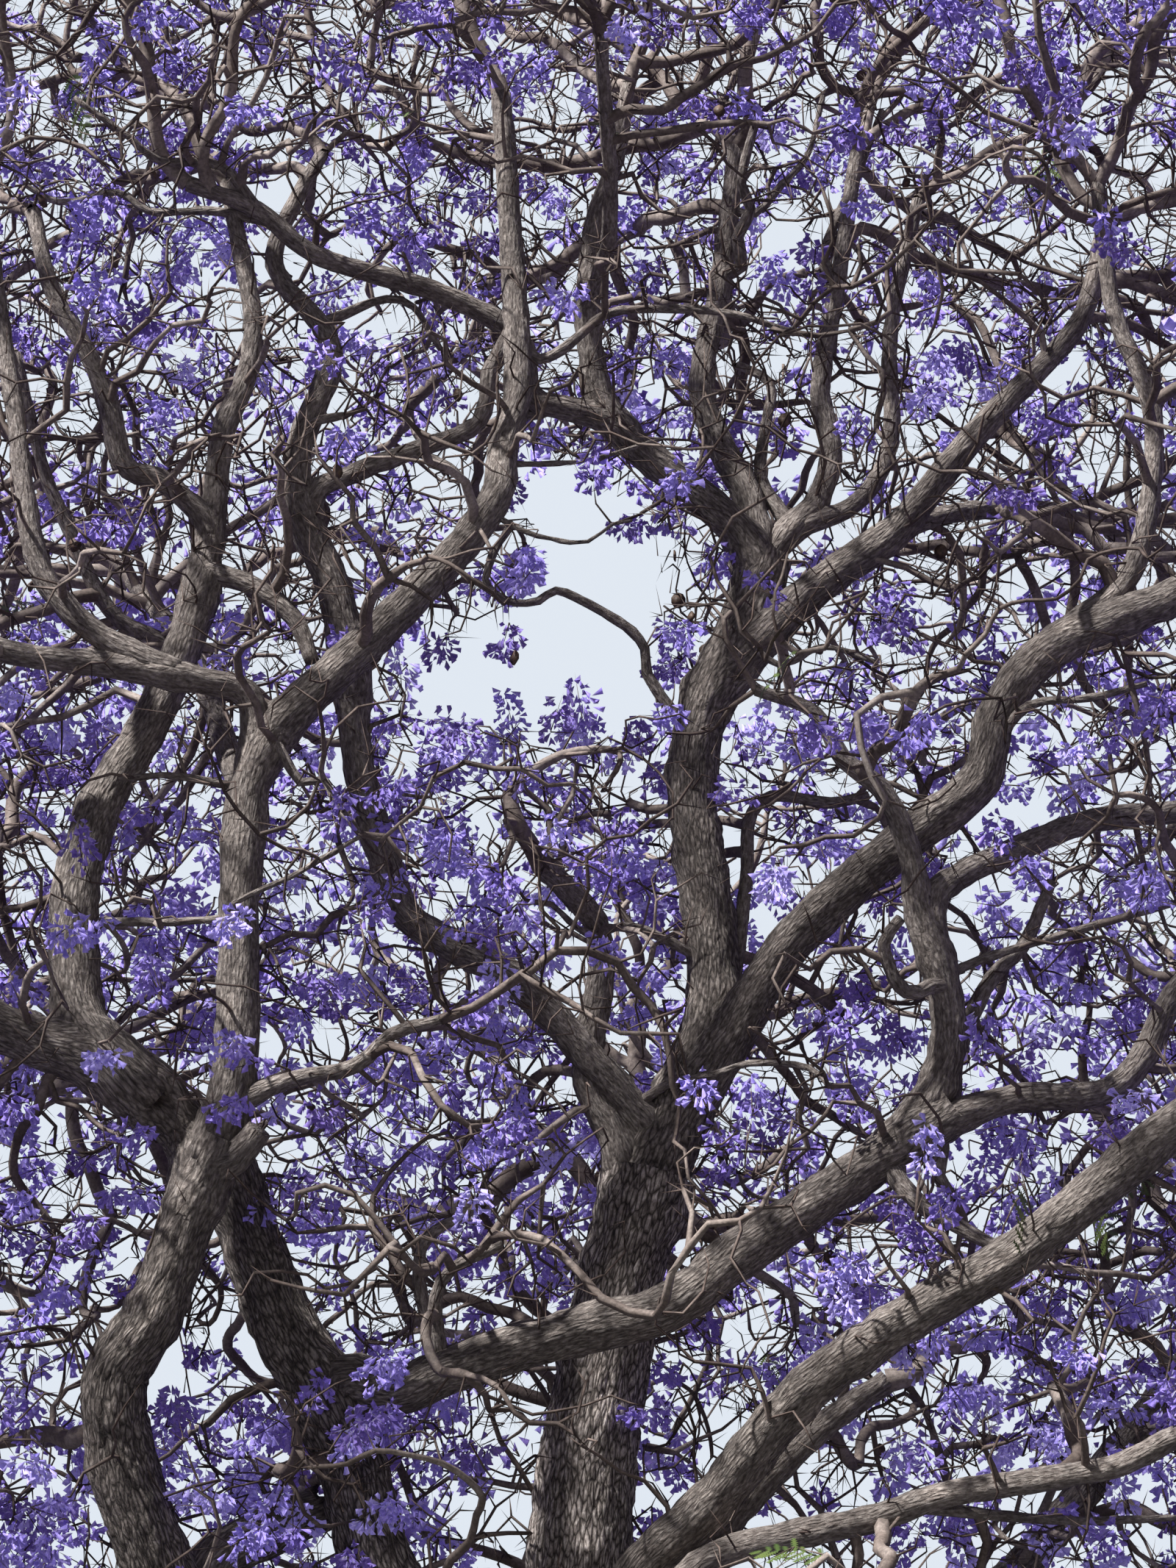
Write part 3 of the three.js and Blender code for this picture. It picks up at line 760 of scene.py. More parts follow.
def trunk_tube(middles, profile, limbs, seed):
    """The bark of the trunk, from its flat foot to where the leaders leave it."""
    widest = profile.max()
    count = TRUNK_SIDES
    angles = 2 * math.pi * np.arange(count) / count
    known = 2 * math.pi * np.arange(TRUNK_RAYS + 1) / TRUNK_RAYS
    radii = np.array([np.interp(angles, known, np.append(row, row[0])) for row in profile])
    window = np.hanning(2 * TRUNK_BLUR + 1)
    window = window / window.sum()
    padded = np.hstack([radii[:, -TRUNK_BLUR:], radii, radii[:, :TRUNK_BLUR]])
    radii = np.array([np.convolve(row, window, "valid") for row in padded])
    outward = np.stack([np.cos(angles), np.sin(angles), 0 * angles], axis=1)
    outward = np.tile(outward, (len(middles), 1))
    widths = radii.ravel()
    points = np.repeat(middles, count, axis=0) + outward * widths[:, None]
    grain = outward * widths[:, None] + np.repeat(middles[:, 2], count)[:, None] * UP
    points = swell_at_joints(limbs["trunk"], points, outward, widths, limbs)
    points = points + outward * relief(grain, widths * 0.6, seed)[:, None]
    rows = len(middles)
    points[:, 2] = np.maximum(points[:, 2], 0)
    top = middles[-1] + UP * widest * TRUNK_DOME
    points = np.vstack([points, middles[0], top])
    grain = np.vstack([grain, grain[0] * 0.2, grain[-1]])
    widths = np.append(widths, [widest, widest])
    faces = ring_faces(rows, count)
    return points, end_caps(rows, count), faces, grain, widths, np.zeros(len(points))


def joined(parts):
    """Sets of places, triangles, four-sided faces and other values, as one set."""
    first = 0
    stacks = [[] for _ in parts[0]]
    for points, caps, faces, *rest in parts:
        for stack, part in zip(stacks, (points, caps + first, faces + first, *rest)):
            stack.append(part)
        first += len(points)
    return [np.concatenate(stack) for stack in stacks]


def bark_piece(name, parts, nodes, material):
    points, caps, faces, grain, widths, hollow = joined(parts)
    piece = new_piece(name, points, caps, faces, [material])
    give_points(piece, "grain", grain)
    give_points(piece, "age", between(widths, YOUNG, OLD))
    # The 'hollow' value colours the knot hole near-black, partly painted shade inside it.
    give_points(piece, "hollow", hollow)
    # The 'pale' value brightens the thickest bark: partly its own paler grey, partly painted
    # light.
    give_points(piece, "pale", between(widths, PALE_AND_PAINTED_LIGHT_FROM, PALE_AND_PAINTED_LIGHT_TO))
    put_on_tree(piece, nodes)


# Branches and twigs.

SIDE_SHOOTS = 3


def nearest_of(points, others):
    """For each point, the distance to the nearest of some others, and which it is."""
    gaps = np.empty(len(points))
    index = np.empty(len(points), int)
    squares = (others * others).sum(1)
    for start in range(0, len(points), 2000):
        part = points[start:start + 2000]
        square = (part * part).sum(1)[:, None] + squares[None] - 2 * part @ others.T
        index[start:start + 2000] = square.argmin(1)
        gaps[start:start + 2000] = np.sqrt(np.maximum(square.min(1), 0))
    return gaps, index


def grow(start, start_ways, targets, rule, clear_stretches, rng):
    """Grows shoots from `start` towards `targets`, a step at a time, until each is reached.

    Returns the places of all nodes, the start among them, and the node that each grew from.
    """
    places = np.array(start)
    ways = np.array(start_ways)
    parents = np.full(len(places), -1)
    shoots = np.zeros(len(places), int)
    gap, nearest = nearest_of(targets, places)
    for _ in range(rule["steps"]):
        pulled = (gap > rule["near"]) & (gap < rule["far"]) & (shoots[nearest] < SIDE_SHOOTS)
        if not pulled.any():
            break
        pull = np.zeros_like(places)
        np.add.at(pull, nearest[pulled], unit(targets[pulled] - places[nearest[pulled]]))
        growers = np.unique(nearest[pulled])
        way = unit(pull[growers]) + rule["keep"] * ways[growers] + rule["lift"] * UP
        way = unit(way + rule["wander"] * rng.normal(size=way.shape))
        new = places[growers] + rule["step"] * way
        shoots[growers] += 1
        blocked = clear_stretches.hidden_by(new) & (rng.random(len(new)) < CLEAR_OF_TWIGS)
        clear = ~in_sky_gap(new) & ~blocked
        new, way, growers = new[clear], way[clear], growers[clear]
        if not len(new):
            continue
        first = len(places)
        places = np.vstack([places, new])
        ways = np.vstack([ways, way])
        parents = np.append(parents, growers)
        shoots = np.append(shoots, np.zeros(len(new), int))
        new_gap, new_nearest = nearest_of(targets, new)
        closer = new_gap < gap
        gap = np.where(closer, new_gap, gap)
        nearest = np.where(closer, first + new_nearest, nearest)
    return places, ways, parents


BRANCH_RULE = {"step": 0.13, "near": 0.22, "far": 4.5, "wander": 0.24, "keep": 0.40,
               "lift": 0.10, "steps": 90}
TWIG_RULE = {"step": 0.112, "near": 0.10, "far": 0.9, "wander": 0.42, "keep": 0.30,
             "lift": 0.22, "steps": 26}
BRANCH_CELL = 0.40
FAR_BRANCH_SHARE = 0.30
TWIG_CELL = 0.193
FAR_SHARE = 0.17
DEEP_SHARE = 0.05
TOP_BAND = 800
LOWER_SHARE = 0.85
DEEP = 0.75
SEED_REACH = 0.30
SIDE_SHARE = 0.35
VIEW_NEAR = -3.2
VIEW_FAR = 2.6
VIEW_MARGIN = 80

# Where twigs are thickest, the frame's own part of the crown, and how gently that ends: in pixels
# outside the frame's edges, and in metres further back or further forward.
FADE_EDGE = 220
FADE_BACK = (1.4, 2.2)
FADE_FRONT = (-2.4, 1.0)


def in_view(points):
    """Whether each point is in the photograph's frame or near it, and not far from its middle."""
    depth = points[:, 1]
    return framed(points, VIEW_MARGIN) & (depth > VIEW_NEAR) & (depth < VIEW_FAR)


def shown(points):
    """How fully the photograph shows the crown at each point, from 0 to 1."""
    across, down = pixels(points)
    beyond = np.max([-across, across - PHOTO_WIDE, -down, down - PHOTO_HIGH], axis=0) / FADE_EDGE
    back = (points[:, 1] - FADE_BACK[0]) / FADE_BACK[1]
    front = (FADE_FRONT[0] - points[:, 1]) / FADE_FRONT[1]
    return np.clip(1 - np.maximum(beyond, 0) - np.maximum(back, 0) - np.maximum(front, 0), 0, 1)


def spread(low, high, cell, rng):
    """One point at random in each cell of a box."""
    counts = np.maximum(np.ceil((high - low) / cell).astype(int), 1)
    grid = np.stack(np.meshgrid(*[np.arange(n) for n in counts], indexing="ij"), axis=3)
    return low + (grid.reshape(-1, 3) + rng.random((counts.prod(), 3))) * cell


class Mass:
    """A mass's solid, for telling what is inside it."""

    def __init__(self, name):
        self.tree = solid_tree(name)
        low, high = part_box(name)
        self.low = np.array(low)
        self.high = np.array(high)

    def depth(self, points):
        """How far each point is inside the mass, less than nothing outside it."""
        depths = np.empty(len(points))
        for i, point in enumerate(points):
            place, normal, _, away = self.tree.find_nearest(Vector(point))
            inward = (place - Vector(point)).dot(normal)
            depths[i] = away if inward > 0 else -away
        return depths

    def fill(self, cell, rng):
        """Points spread through the mass."""
        points = spread(self.low, self.high, cell, rng)
        return points[self.depth(points) > 0]


def outside_masses(points, masses):
    """The points that are in none of the masses."""
    for mass in masses:
        near = np.flatnonzero(np.all((points > mass.low) & (points < mass.high), axis=1))
        points = np.delete(points, near[mass.depth(points[near]) > 0], axis=0)
    return points


NO_LIMIT = 9.0


class Growth:
    """All the branches and twigs, as nodes.

    Each has a place, a way that it grows, the node that it grew from, the most that its radius may
    be, its region, and the radius of the limb's tip that it carries on. Once the growth is
    finished, each has its radius, and `heavy`, the node that carries its branch on.
    """

    def __init__(self):
        self.places = np.empty((0, 3))
        self.ways = np.empty((0, 3))
        self.parents = np.empty(0, int)
        self.caps = np.empty(0)
        self.region = np.empty(0, int)
        self.tips = np.empty(0)
        self.radii = None
        self.heavy = None

    def add(self, places, ways, parents, caps, region, tips):
        first = len(self.places)
        self.places = np.vstack([self.places, places])
        self.ways = np.vstack([self.ways, ways])
        self.parents = np.append(self.parents, np.where(parents < 0, -1, parents + first))
        self.caps = np.append(self.caps, caps)
        self.tips = np.append(self.tips, tips)
        self.region = np.append(self.region, np.broadcast_to(region, len(places)))

    def extend(self, nodes, places, ways, parents):
        """Adds shoots that grew from nodes that are here already, which come first in places."""
        old = len(nodes)
        foot = nodes[np.minimum(parents, old - 1)]
        mapped = np.where(parents < old, foot, parents - old + len(self.places))[old:]
        self.parents = np.append(self.parents, mapped)
        self.places = np.vstack([self.places, places[old:]])
        self.ways = np.vstack([self.ways, ways[old:]])
        self.caps = np.append(self.caps, np.full(len(mapped), NO_LIMIT))
        self.tips = np.append(self.tips, np.zeros(len(mapped)))
        self.region = np.append(self.region, np.zeros(len(mapped), int))
        for made in range(len(self.region) - len(mapped), len(self.region)):
            self.region[made] = self.region[self.parents[made]]


def limb_seeds(limbs):
    """Places on the limbs that shoots can leave, their ways, their radii, and which are tips."""
    places, ways, radii, tips = [], [], [], []
    for limb in limbs.values():
        if limb.name in ("trunk", *BROKEN_LIMBS):
            continue
        ahead = unit(np.gradient(limb.line, axis=0))
        skip = max(2, int(0.12 * len(limb.line)))
        places.append(limb.line[skip:])
        ways.append(ahead[skip:])
        radii.append(limb.radii[skip:])
        last = np.zeros(len(limb.line) - skip)
        last[-1] = limb.radii[-1]
        tips.append(last)
    return [np.concatenate(part) for part in (places, ways, radii, tips)]


def grow_in_mass(growth, mass, seeds, region, clear, rng):
    places, ways, radii, tips = seeds
    depth = np.full(len(places), -9.0)
    close = np.all((places > mass.low - 1.5) & (places < mass.high + 1.5), axis=1)
    depth[close] = mass.depth(places[close])
    some = (tips > 0) | (rng.random(len(depth)) < SIDE_SHARE)
    chosen = np.flatnonzero((depth > -SEED_REACH) & some)
    if not len(chosen):
        chosen = np.argsort(-depth)[:2]
    branch_targets = mass.fill(BRANCH_CELL, rng)
    share = np.where(in_view(branch_targets), 1.0, FAR_BRANCH_SHARE)
    branch_targets = branch_targets[rng.random(len(share)) < share]
    branch_targets = branch_targets[~in_sky_gap(branch_targets, 1.15)]
    made, made_ways, parents = grow(places[chosen], ways[chosen], branch_targets, BRANCH_RULE,
                                    clear, rng)
    twig_targets = mass.fill(TWIG_CELL, rng)
    far_share = np.where(mass.depth(twig_targets) > DEEP, DEEP_SHARE, FAR_SHARE)
    view_share = np.where(pixels(twig_targets)[1] < TOP_BAND, 1.0, LOWER_SHARE)
    share = far_share + (view_share - far_share) * shown(twig_targets)
    twig_targets = twig_targets[rng.random(len(share)) < share]
    twig_targets = twig_targets[~in_sky_gap(twig_targets, 1.08)]
    full, full_ways, more = grow(made, made_ways, twig_targets, TWIG_RULE, clear, rng)
    more[:len(made)] = parents
    caps = np.full(len(full), NO_LIMIT)
    caps[:len(chosen)] = radii[chosen]
    tip_widths = np.zeros(len(full))
    tip_widths[:len(chosen)] = tips[chosen]
    growth.add(full, full_ways, more, caps, region, tip_widths)


VEIL_CELL = 0.25
VEIL_NEAR = -2.6
VEIL_FAR = 2.6
VEIL_EDGE = 0.9
VEIL_LUMP = 0.8
VEIL_SHARE = 0.9
VEIL_REACH = 1.4
VEIL_STEMS = 0.22
VEIL_STARTS = 0.5
VEIL_RULE = {"step": 0.112, "near": 0.10, "far": 1.1, "wander": 0.42, "keep": 0.35,
             "lift": 0.18, "steps": 22}
BLOSSOM_TWIGS = 0.40
FRONT_TWIGS = 1.0
BLOSSOM_DEPTHS = (-1.3, 1.2)


def blossom_targets(ellipses, depths, share, rng):
    """Extra points for twigs to reach where the photograph's blossom is thickest."""
    targets = []
    for across, down, half_wide, half_high, more in ellipses:
        area = math.pi * half_wide * half_high * PIXEL**2
        for _ in range(round(area * more * share)):
            angle = rng.uniform(0, 2 * math.pi)
            reach = math.sqrt(rng.random())
            targets.append(seen(across + half_wide * reach * math.cos(angle),
                                down + half_high * reach * math.sin(angle),
                                rng.uniform(*depths)))
    return np.array(targets)


def grow_veil(growth, masses, seeds, clear, rng):
    """Twigs that leave the limbs between the masses, in and near the photograph's frame."""
    places, ways, radii, _ = seeds
    corners = np.array([seen(a, d, y) for a in (-150, PHOTO_WIDE + 150)
                        for d in (-100, PHOTO_HIGH + 150) for y in (VEIL_NEAR, VEIL_FAR)])
    targets = spread(corners.min(0), corners.max(0), VEIL_CELL, rng)
    edge = 2 * VEIL_EDGE * cloud(targets / VEIL_LUMP, 17)
    inside = (targets[:, 1] > VEIL_NEAR + edge) & (targets[:, 1] < VEIL_FAR - edge)
    chosen = inside & (rng.random(len(targets)) < VEIL_SHARE) & ~in_sky_gap(targets, 1.2)
    targets = targets[chosen]
    gap, _ = nearest_of(targets, places)
    targets = outside_masses(targets[gap < VEIL_REACH], masses)
    some = rng.random(len(places)) < VEIL_STARTS
    stems = targets[rng.random(len(targets)) < VEIL_STEMS]
    made, made_ways, stem_parents = grow(places[some], ways[some], stems, BRANCH_RULE, clear, rng)
    targets = np.vstack([
        targets, blossom_targets(BLOSSOM_PLACES, BLOSSOM_DEPTHS, BLOSSOM_TWIGS, rng),
        blossom_targets(FRONT_BLOSSOM, FRONT_DEPTHS, FRONT_TWIGS, rng)])
    full, full_ways, parents = grow(made, made_ways, targets, VEIL_RULE, clear, rng)
    parents[:len(made)] = stem_parents
    caps = np.full(len(full), NO_LIMIT)
    caps[:some.sum()] = radii[some]
    side = (full[:, 0] > VEIL_MIDDLE).astype(int)
    growth.add(full, full_ways, parents, caps, side, np.zeros(len(full)))


OUTER_CELL = 0.46
OUTER_LOW = 3.2
OUTER_MIDDLE = np.array((0.3, 0.7, 6.3))
OUTER_REACH = np.array((6.9, 5.8, 4.6))
OUTER_HOLLOW = 0.55
OUTER_STARTS = 0.35
OUTER_MARGIN = 60


def grow_outer_veil(growth, masses, clear, rng):
    """Twigs in the hollows between the outer masses, where the photograph doesn't show them."""
    targets = spread(OUTER_MIDDLE - OUTER_REACH, OUTER_MIDDLE + OUTER_REACH, OUTER_CELL, rng)
    out = np.linalg.norm((targets - OUTER_MIDDLE) / OUTER_REACH, axis=1)
    chosen = (out < 1) & (out > OUTER_HOLLOW) & (targets[:, 2] > OUTER_LOW)
    unseen = ~framed(targets, OUTER_MARGIN) | (targets[:, 1] > VIEW_FAR)
    targets = outside_masses(targets[chosen & unseen & ~in_sky_gap(targets, 1.3)], masses)
    gap, _ = nearest_of(targets, growth.places)
    targets = targets[gap < VEIL_RULE["far"]]
    back, _ = nearest_of(growth.places, targets)
    nodes = np.flatnonzero((back < VEIL_RULE["far"]) & (rng.random(len(back)) < OUTER_STARTS))
    shoots = grow(growth.places[nodes], growth.ways[nodes], targets, VEIL_RULE, clear, rng)
    growth.extend(nodes, *shoots)


TWIG_TIP = 0.0046
PIPE_POWER = 1.95
TAPER_STEP = 0.12
END_TAPER = 0.006
END_SHARE = 0.86
SIDE_LIMIT = 0.8
SWAY = 0.05
SWAY_SIZE = 0.33


def children_first(parents):
    """The order of nodes that puts each before the node it grew from, and each one's depth."""
    depth = np.zeros(len(parents), int)
    for node, parent in enumerate(parents):
        if parent >= 0:
            depth[node] = depth[parent] + 1
    return np.argsort(-depth, kind="stable"), depth


def finish_growth(growth):
    """Gives each node its radius, and sways the branches so that none runs straight."""
    order, depth = children_first(growth.parents)
    flow = np.zeros(len(growth.parents))
    tip_flow = TWIG_TIP ** PIPE_POWER
    for node in order:
        if flow[node] == 0:
            flow[node] = tip_flow
        parent = growth.parents[node]
        if parent >= 0:
            flow[parent] += flow[node] + TAPER_STEP * tip_flow
    radii = flow ** (1 / PIPE_POWER)
    limit = growth.caps.copy()
    for node in order[::-1]:
        parent = growth.parents[node]
        if parent >= 0:
            limit[node] = limit[parent] * (SIDE_LIMIT if growth.parents[parent] < 0 else 1)
    radii = np.minimum(radii, limit)
    wide = growth.tips.copy()
    heavy = np.full(len(radii), -1)
    left = np.zeros(len(radii))
    for node in order:
        parent = growth.parents[node]
        if parent >= 0 and (heavy[parent] < 0 or flow[node] > flow[heavy[parent]]):
            heavy[parent] = node
            left[parent] = left[node] + 1
    for node in order[::-1]:
        parent = growth.parents[node]
        if parent >= 0 and heavy[parent] == node:
            wide[node] = min(END_SHARE * wide[parent], END_TAPER * left[node])
            radii[node] = max(radii[node], wide[node])
    weight = np.clip(depth / 5, 0, 1)
    growth.places = growth.places + drift(growth.places / SWAY_SIZE, 3) * (SWAY * weight)[:, None]
    growth.places += drift(growth.places / (SWAY_SIZE / 2.3), 7) * (SWAY * 0.25 * weight)[:, None]
    growth.radii = radii
    growth.heavy = heavy


def chains_of(growth):
    """The branches as runs of nodes, each from the node that it leaves to its own end."""
    chains = []
    for node, parent in enumerate(growth.parents):
        if parent < 0 or growth.heavy[parent] == node and growth.parents[parent] >= 0:
            continue
        run = [parent, node]
        while growth.heavy[run[-1]] >= 0:
            run.append(growth.heavy[run[-1]])
        chains.append(run)
    return chains


def smoothed(points, radii):
    """A run with a point added in the middle of each of its steps, on a smooth curve."""
    padded = np.vstack([2 * points[0] - points[1], points, 2 * points[-1] - points[-2]])
    halves = (9 * (padded[1:-2] + padded[2:-1]) - padded[:-3] - padded[3:]) / 16
    finer = np.empty((len(points) * 2 - 1, 3))
    finer[::2] = points
    finer[1::2] = halves
    widths = np.interp(np.arange(len(finer)) / 2, np.arange(len(points)), radii)
    return finer, widths


TWIG_SIDES = ((0.028, 9.0, 6), (0.0125, 0.028, 4), (0.0, 0.0125, 3))
SMOOTH_SIDES = 6
# The radii between which twigs go from the darkest colour, partly painted shade, to the palest.
THIN_TWIG = 0.0045
THICK_TWIG = 0.014


def tubes(runs, sides):
    """Many thin tubes at once, each ending in a point: places, triangles, quads and radii."""
    lengths = np.array([len(points) for points, _ in runs])
    points = np.concatenate([points for points, _ in runs])
    radii = np.concatenate([radii for _, radii in runs])
    ends = np.cumsum(lengths)
    starts = ends - lengths
    following = np.minimum(np.arange(len(points)) + 1, np.repeat(ends - 1, lengths))
    previous = np.maximum(np.arange(len(points)) - 1, np.repeat(starts, lengths))
    ahead = unit(points[following] - points[previous])
    overall = np.repeat(points[ends - 1] - points[starts], lengths, axis=0)
    flattest = np.abs(overall).argmin(1)
    reference = np.eye(3)[flattest]
    side = unit(np.cross(ahead, reference))
    angles = 2 * math.pi * np.arange(sides) / sides
    ring = rings_round(angles, side, np.cross(ahead, side))
    places = points[:, None] + ring * radii[:, None, None]
    kept = np.ones((len(points), sides), bool)
    kept[ends - 1, 1:] = False
    places[ends - 1, 0] = points[ends - 1]
    number = np.cumsum(kept.ravel()).reshape(kept.shape) - 1
    full = np.delete(np.arange(len(points)), np.concatenate([ends - 1, ends - 2]))
    k = np.arange(sides)[None]
    following = (k + 1) % sides
    fours = np.stack([number[full[:, None], k], number[full[:, None], following],
                      number[full[:, None] + 1, following], number[full[:, None] + 1, k]], axis=2)
    last = (ends - 2)[:, None]
    threes = np.stack([number[last, k], number[last, following],
                       np.repeat(number[last + 1, 0], sides, axis=1)], axis=2)
    widths = np.repeat(radii, sides)[kept.ravel()]
    return places[kept], threes.reshape(-1, 3), fours.reshape(-1, 4), widths


def runs_to_piece(name, runs, nodes, material):
    """One piece of tubes, with more sides on the thicker ones."""
    parts = []
    for least, most, sides in TWIG_SIDES:
        chosen = [run for run in runs if least <= run[1].max() < most]
        if sides >= SMOOTH_SIDES:
            chosen = [smoothed(*run) for run in chosen]
        if chosen:
            parts.append(tubes(chosen, sides))
    places, threes, fours, widths = joined(parts)
    piece = new_piece(name, places, threes, fours, [material])
    # The 'age' value sets how dark a twig is: thin ones are darkest, partly painted shade.
    give_points(piece, "age", between(widths, THIN_TWIG, THICK_TWIG))
    put_on_tree(piece, nodes)


def thin_limbs(limbs):
    """The thin branches in the photograph, each from the limb nearest its first pixel."""
    line = np.concatenate([limb.line for limb in limbs.values()])
    across, down = pixels(line)
    made = {}
    for number, (places, width, further) in enumerate(THIN_BRANCHES):
        gap = np.hypot(across - places[0][0], down - places[0][1])
        start = line[gap.argmin()]
        share = np.linspace(0, 1, len(places))
        points = [start] + [seen(a, d, start[1] + further * s)
                            for (a, d), s in zip(places[1:], share[1:])]
        radius = width * PIXEL / 2
        radii = radius * np.interp(share, (0, 0.12, 1), (1.25, 1.0, 0.62))
        limb = Limb(f"thin_{number}", points, radii)
        limb.line, limb.radii = curve_through(limb.line, limb.radii, 0.07)
        made[limb.name] = limb
    return made


# Flowers, pods and leaves.

def trumpet(bend, throat, flare, lobes=3):
    """A flower one unit long, from its stalk at the origin: a bent tube that opens in lobes.

    Returns its places, its triangles, and which of them are lobes.
    """
    places = [(0.0, 0.0, 0.0)]
    for k in range(lobes):
        angle = 2 * math.pi * k / lobes
        places.append((0.58, throat * math.cos(angle), throat * math.sin(angle) - bend * 0.4))
    for k in range(lobes):
        angle = 2 * math.pi * (k + 0.5) / lobes
        places.append((0.96 + 0.06 * math.cos(2 * angle), flare * math.cos(angle),
                       flare * math.sin(angle) - bend))
    threes = [(0, 1 + (k + 1) % lobes, 1 + k) for k in range(lobes)]
    threes += [(1 + k, 1 + (k + 1) % lobes, 1 + lobes + k) for k in range(lobes)]
    return np.array(places), np.array(threes), np.arange(2 * lobes) >= lobes


def bell(bend, flare, lobes):
    """A flower one unit long that widens all the way to an uneven mouth."""
    places = [(0.0, 0.0, 0.0)]
    for k in range(lobes):
        angle = 2 * math.pi * k / lobes
        uneven = 0.12 * math.cos(2.4 * angle)
        places.append((0.92 + uneven, (flare + 0.4 * uneven) * math.cos(angle),
                       (flare - 0.4 * uneven) * math.sin(angle) - bend))
    threes = [(0, 1 + (k + 1) % lobes, 1 + k) for k in range(lobes)]
    return np.array(places), np.array(threes), np.arange(lobes) % 2 == 0


def turned(base, ways, spins, sizes, places):
    """Copies of a small shape, each along its own way, turned, sized and moved."""
    reference = np.where(np.abs(ways[:, 2:3]) < 0.9, UP, RIGHT)
    side = unit(np.cross(reference, ways))
    third = np.cross(ways, side)
    cosine = np.cos(spins)[:, None]
    sine = np.sin(spins)[:, None]
    across = cosine * side + sine * third
    upward = cosine * third - sine * side
    return (places[:, None]
            + sizes[:, None, None] * (base[None, :, 0:1] * ways[:, None]
                                      + base[None, :, 1:2] * across[:, None]
                                      + base[None, :, 2:3] * upward[:, None]))


def copies(shape, ways, spins, sizes, places):
    """Copies of a small shape as places and triangles."""
    base, threes = shape[:2]
    points = turned(base, ways, spins, sizes, places).reshape(-1, 3)
    faces = threes[None] + (np.arange(len(places)) * len(base))[:, None, None]
    return points, faces.reshape(-1, 3)


FLOWER_KINDS = (trumpet(0.10, 0.22, 0.40), bell(0.16, 0.31, 4), bell(0.06, 0.30, 3))
FLOWER_SHARES = (0.18, 0.30, 0.52)
FAR_FLOWER_SHARES = (0.0, 0.35, 0.65)

# Sprays in the photograph's frame, further back in it, and outside it: how long their flowers are,
# and the fewest and most of them.
SPRAY_KINDS = ((0.043, 35, 63), (0.066, 13, 22), (0.092, 10, 16))
SPRAY_LENGTH = 0.17
SPRAY_REACH = 0.053
STALK_WIDTH = 0.0034


def sprays(sites, ways, rng):
    """Flowers hung round the stalk of each spray: places, faces, tints, and the stalks."""
    near = in_view(sites)
    behind = framed(sites) & (sites[:, 1] > 0)
    spray_lengths, least, most = np.transpose(SPRAY_KINDS)[:, np.where(near, 0, 2 - behind)]
    counts = rng.integers(least.astype(int), most.astype(int) + 1)
    spray = np.repeat(np.arange(len(sites)), counts)
    flower_length = spray_lengths[spray]
    lengths = SPRAY_LENGTH * rng.uniform(0.7, 1.25, len(sites))
    stalk_ways = unit(ways + 0.5 * UP + 0.35 * rng.normal(size=ways.shape))
    share = rng.random(len(spray)) ** 0.8
    outward = unit(rng.normal(size=(len(spray), 3)) * (1, 1, 0.6))
    reach = SPRAY_REACH * (0.30 + 0.70 * np.sin(np.pi * (0.12 + 0.80 * share)))
    reach = reach * rng.uniform(0.6, 1.15, len(spray))
    places = (sites[spray] + stalk_ways[spray] * (share * lengths[spray])[:, None]
              + outward * reach[:, None])
    places[:, 2] -= 0.4 * flower_length
    flower_ways = unit(0.9 * outward - 0.75 * UP + 0.45 * rng.normal(size=outward.shape))
    sizes = flower_length * rng.uniform(0.75, 1.2, len(spray))
    spins = rng.uniform(0, 2 * math.pi, len(spray))
    shares = np.cumsum(np.where(near[spray][:, None], FLOWER_SHARES, FAR_FLOWER_SHARES), axis=1)
    kinds = (rng.random((len(spray), 1)) > shares[:, :-1]).sum(1)
    tints = rng.choice(len(TINT_SHARES), len(sites), p=TINT_SHARES)[spray]
    parts = []
    for kind, shape in enumerate(FLOWER_KINDS):
        of_kind = kinds == kind
        points, faces = copies(shape, flower_ways[of_kind], spins[of_kind],
                               sizes[of_kind], places[of_kind])
        lips = np.tile(shape[2], of_kind.sum()).astype(int)
        parts.append((points, faces, NO_FOURS,
                      2 * np.repeat(tints[of_kind], len(shape[1])) + lips))
    points, faces, _, looks = joined(parts)
    ends = sites + stalk_ways * lengths[:, None]
    stalks = [(np.array(pair), np.array([STALK_WIDTH, STALK_WIDTH]))
              for pair in zip(sites, ends)]
    return points, faces, looks, stalks


def pod_shape():
    """A round flat seed pod one unit across, edge down on its stalk, wavy at the rim."""
    sides = 10
    places = [(0.5, 0.0, 0.13), (0.5, 0.0, -0.13)]
    for k in range(sides):
        angle = 2 * math.pi * k / sides
        wave = 0.05 * math.sin(3 * angle)
        places.append((0.5 - 0.5 * math.cos(angle), 0.46 * math.sin(angle), wave))
    threes = []
    for k in range(sides):
        following = (k + 1) % sides
        threes.append((0, 2 + following, 2 + k))
        threes.append((1, 2 + k, 2 + following))
    return np.array(places), np.array(threes)


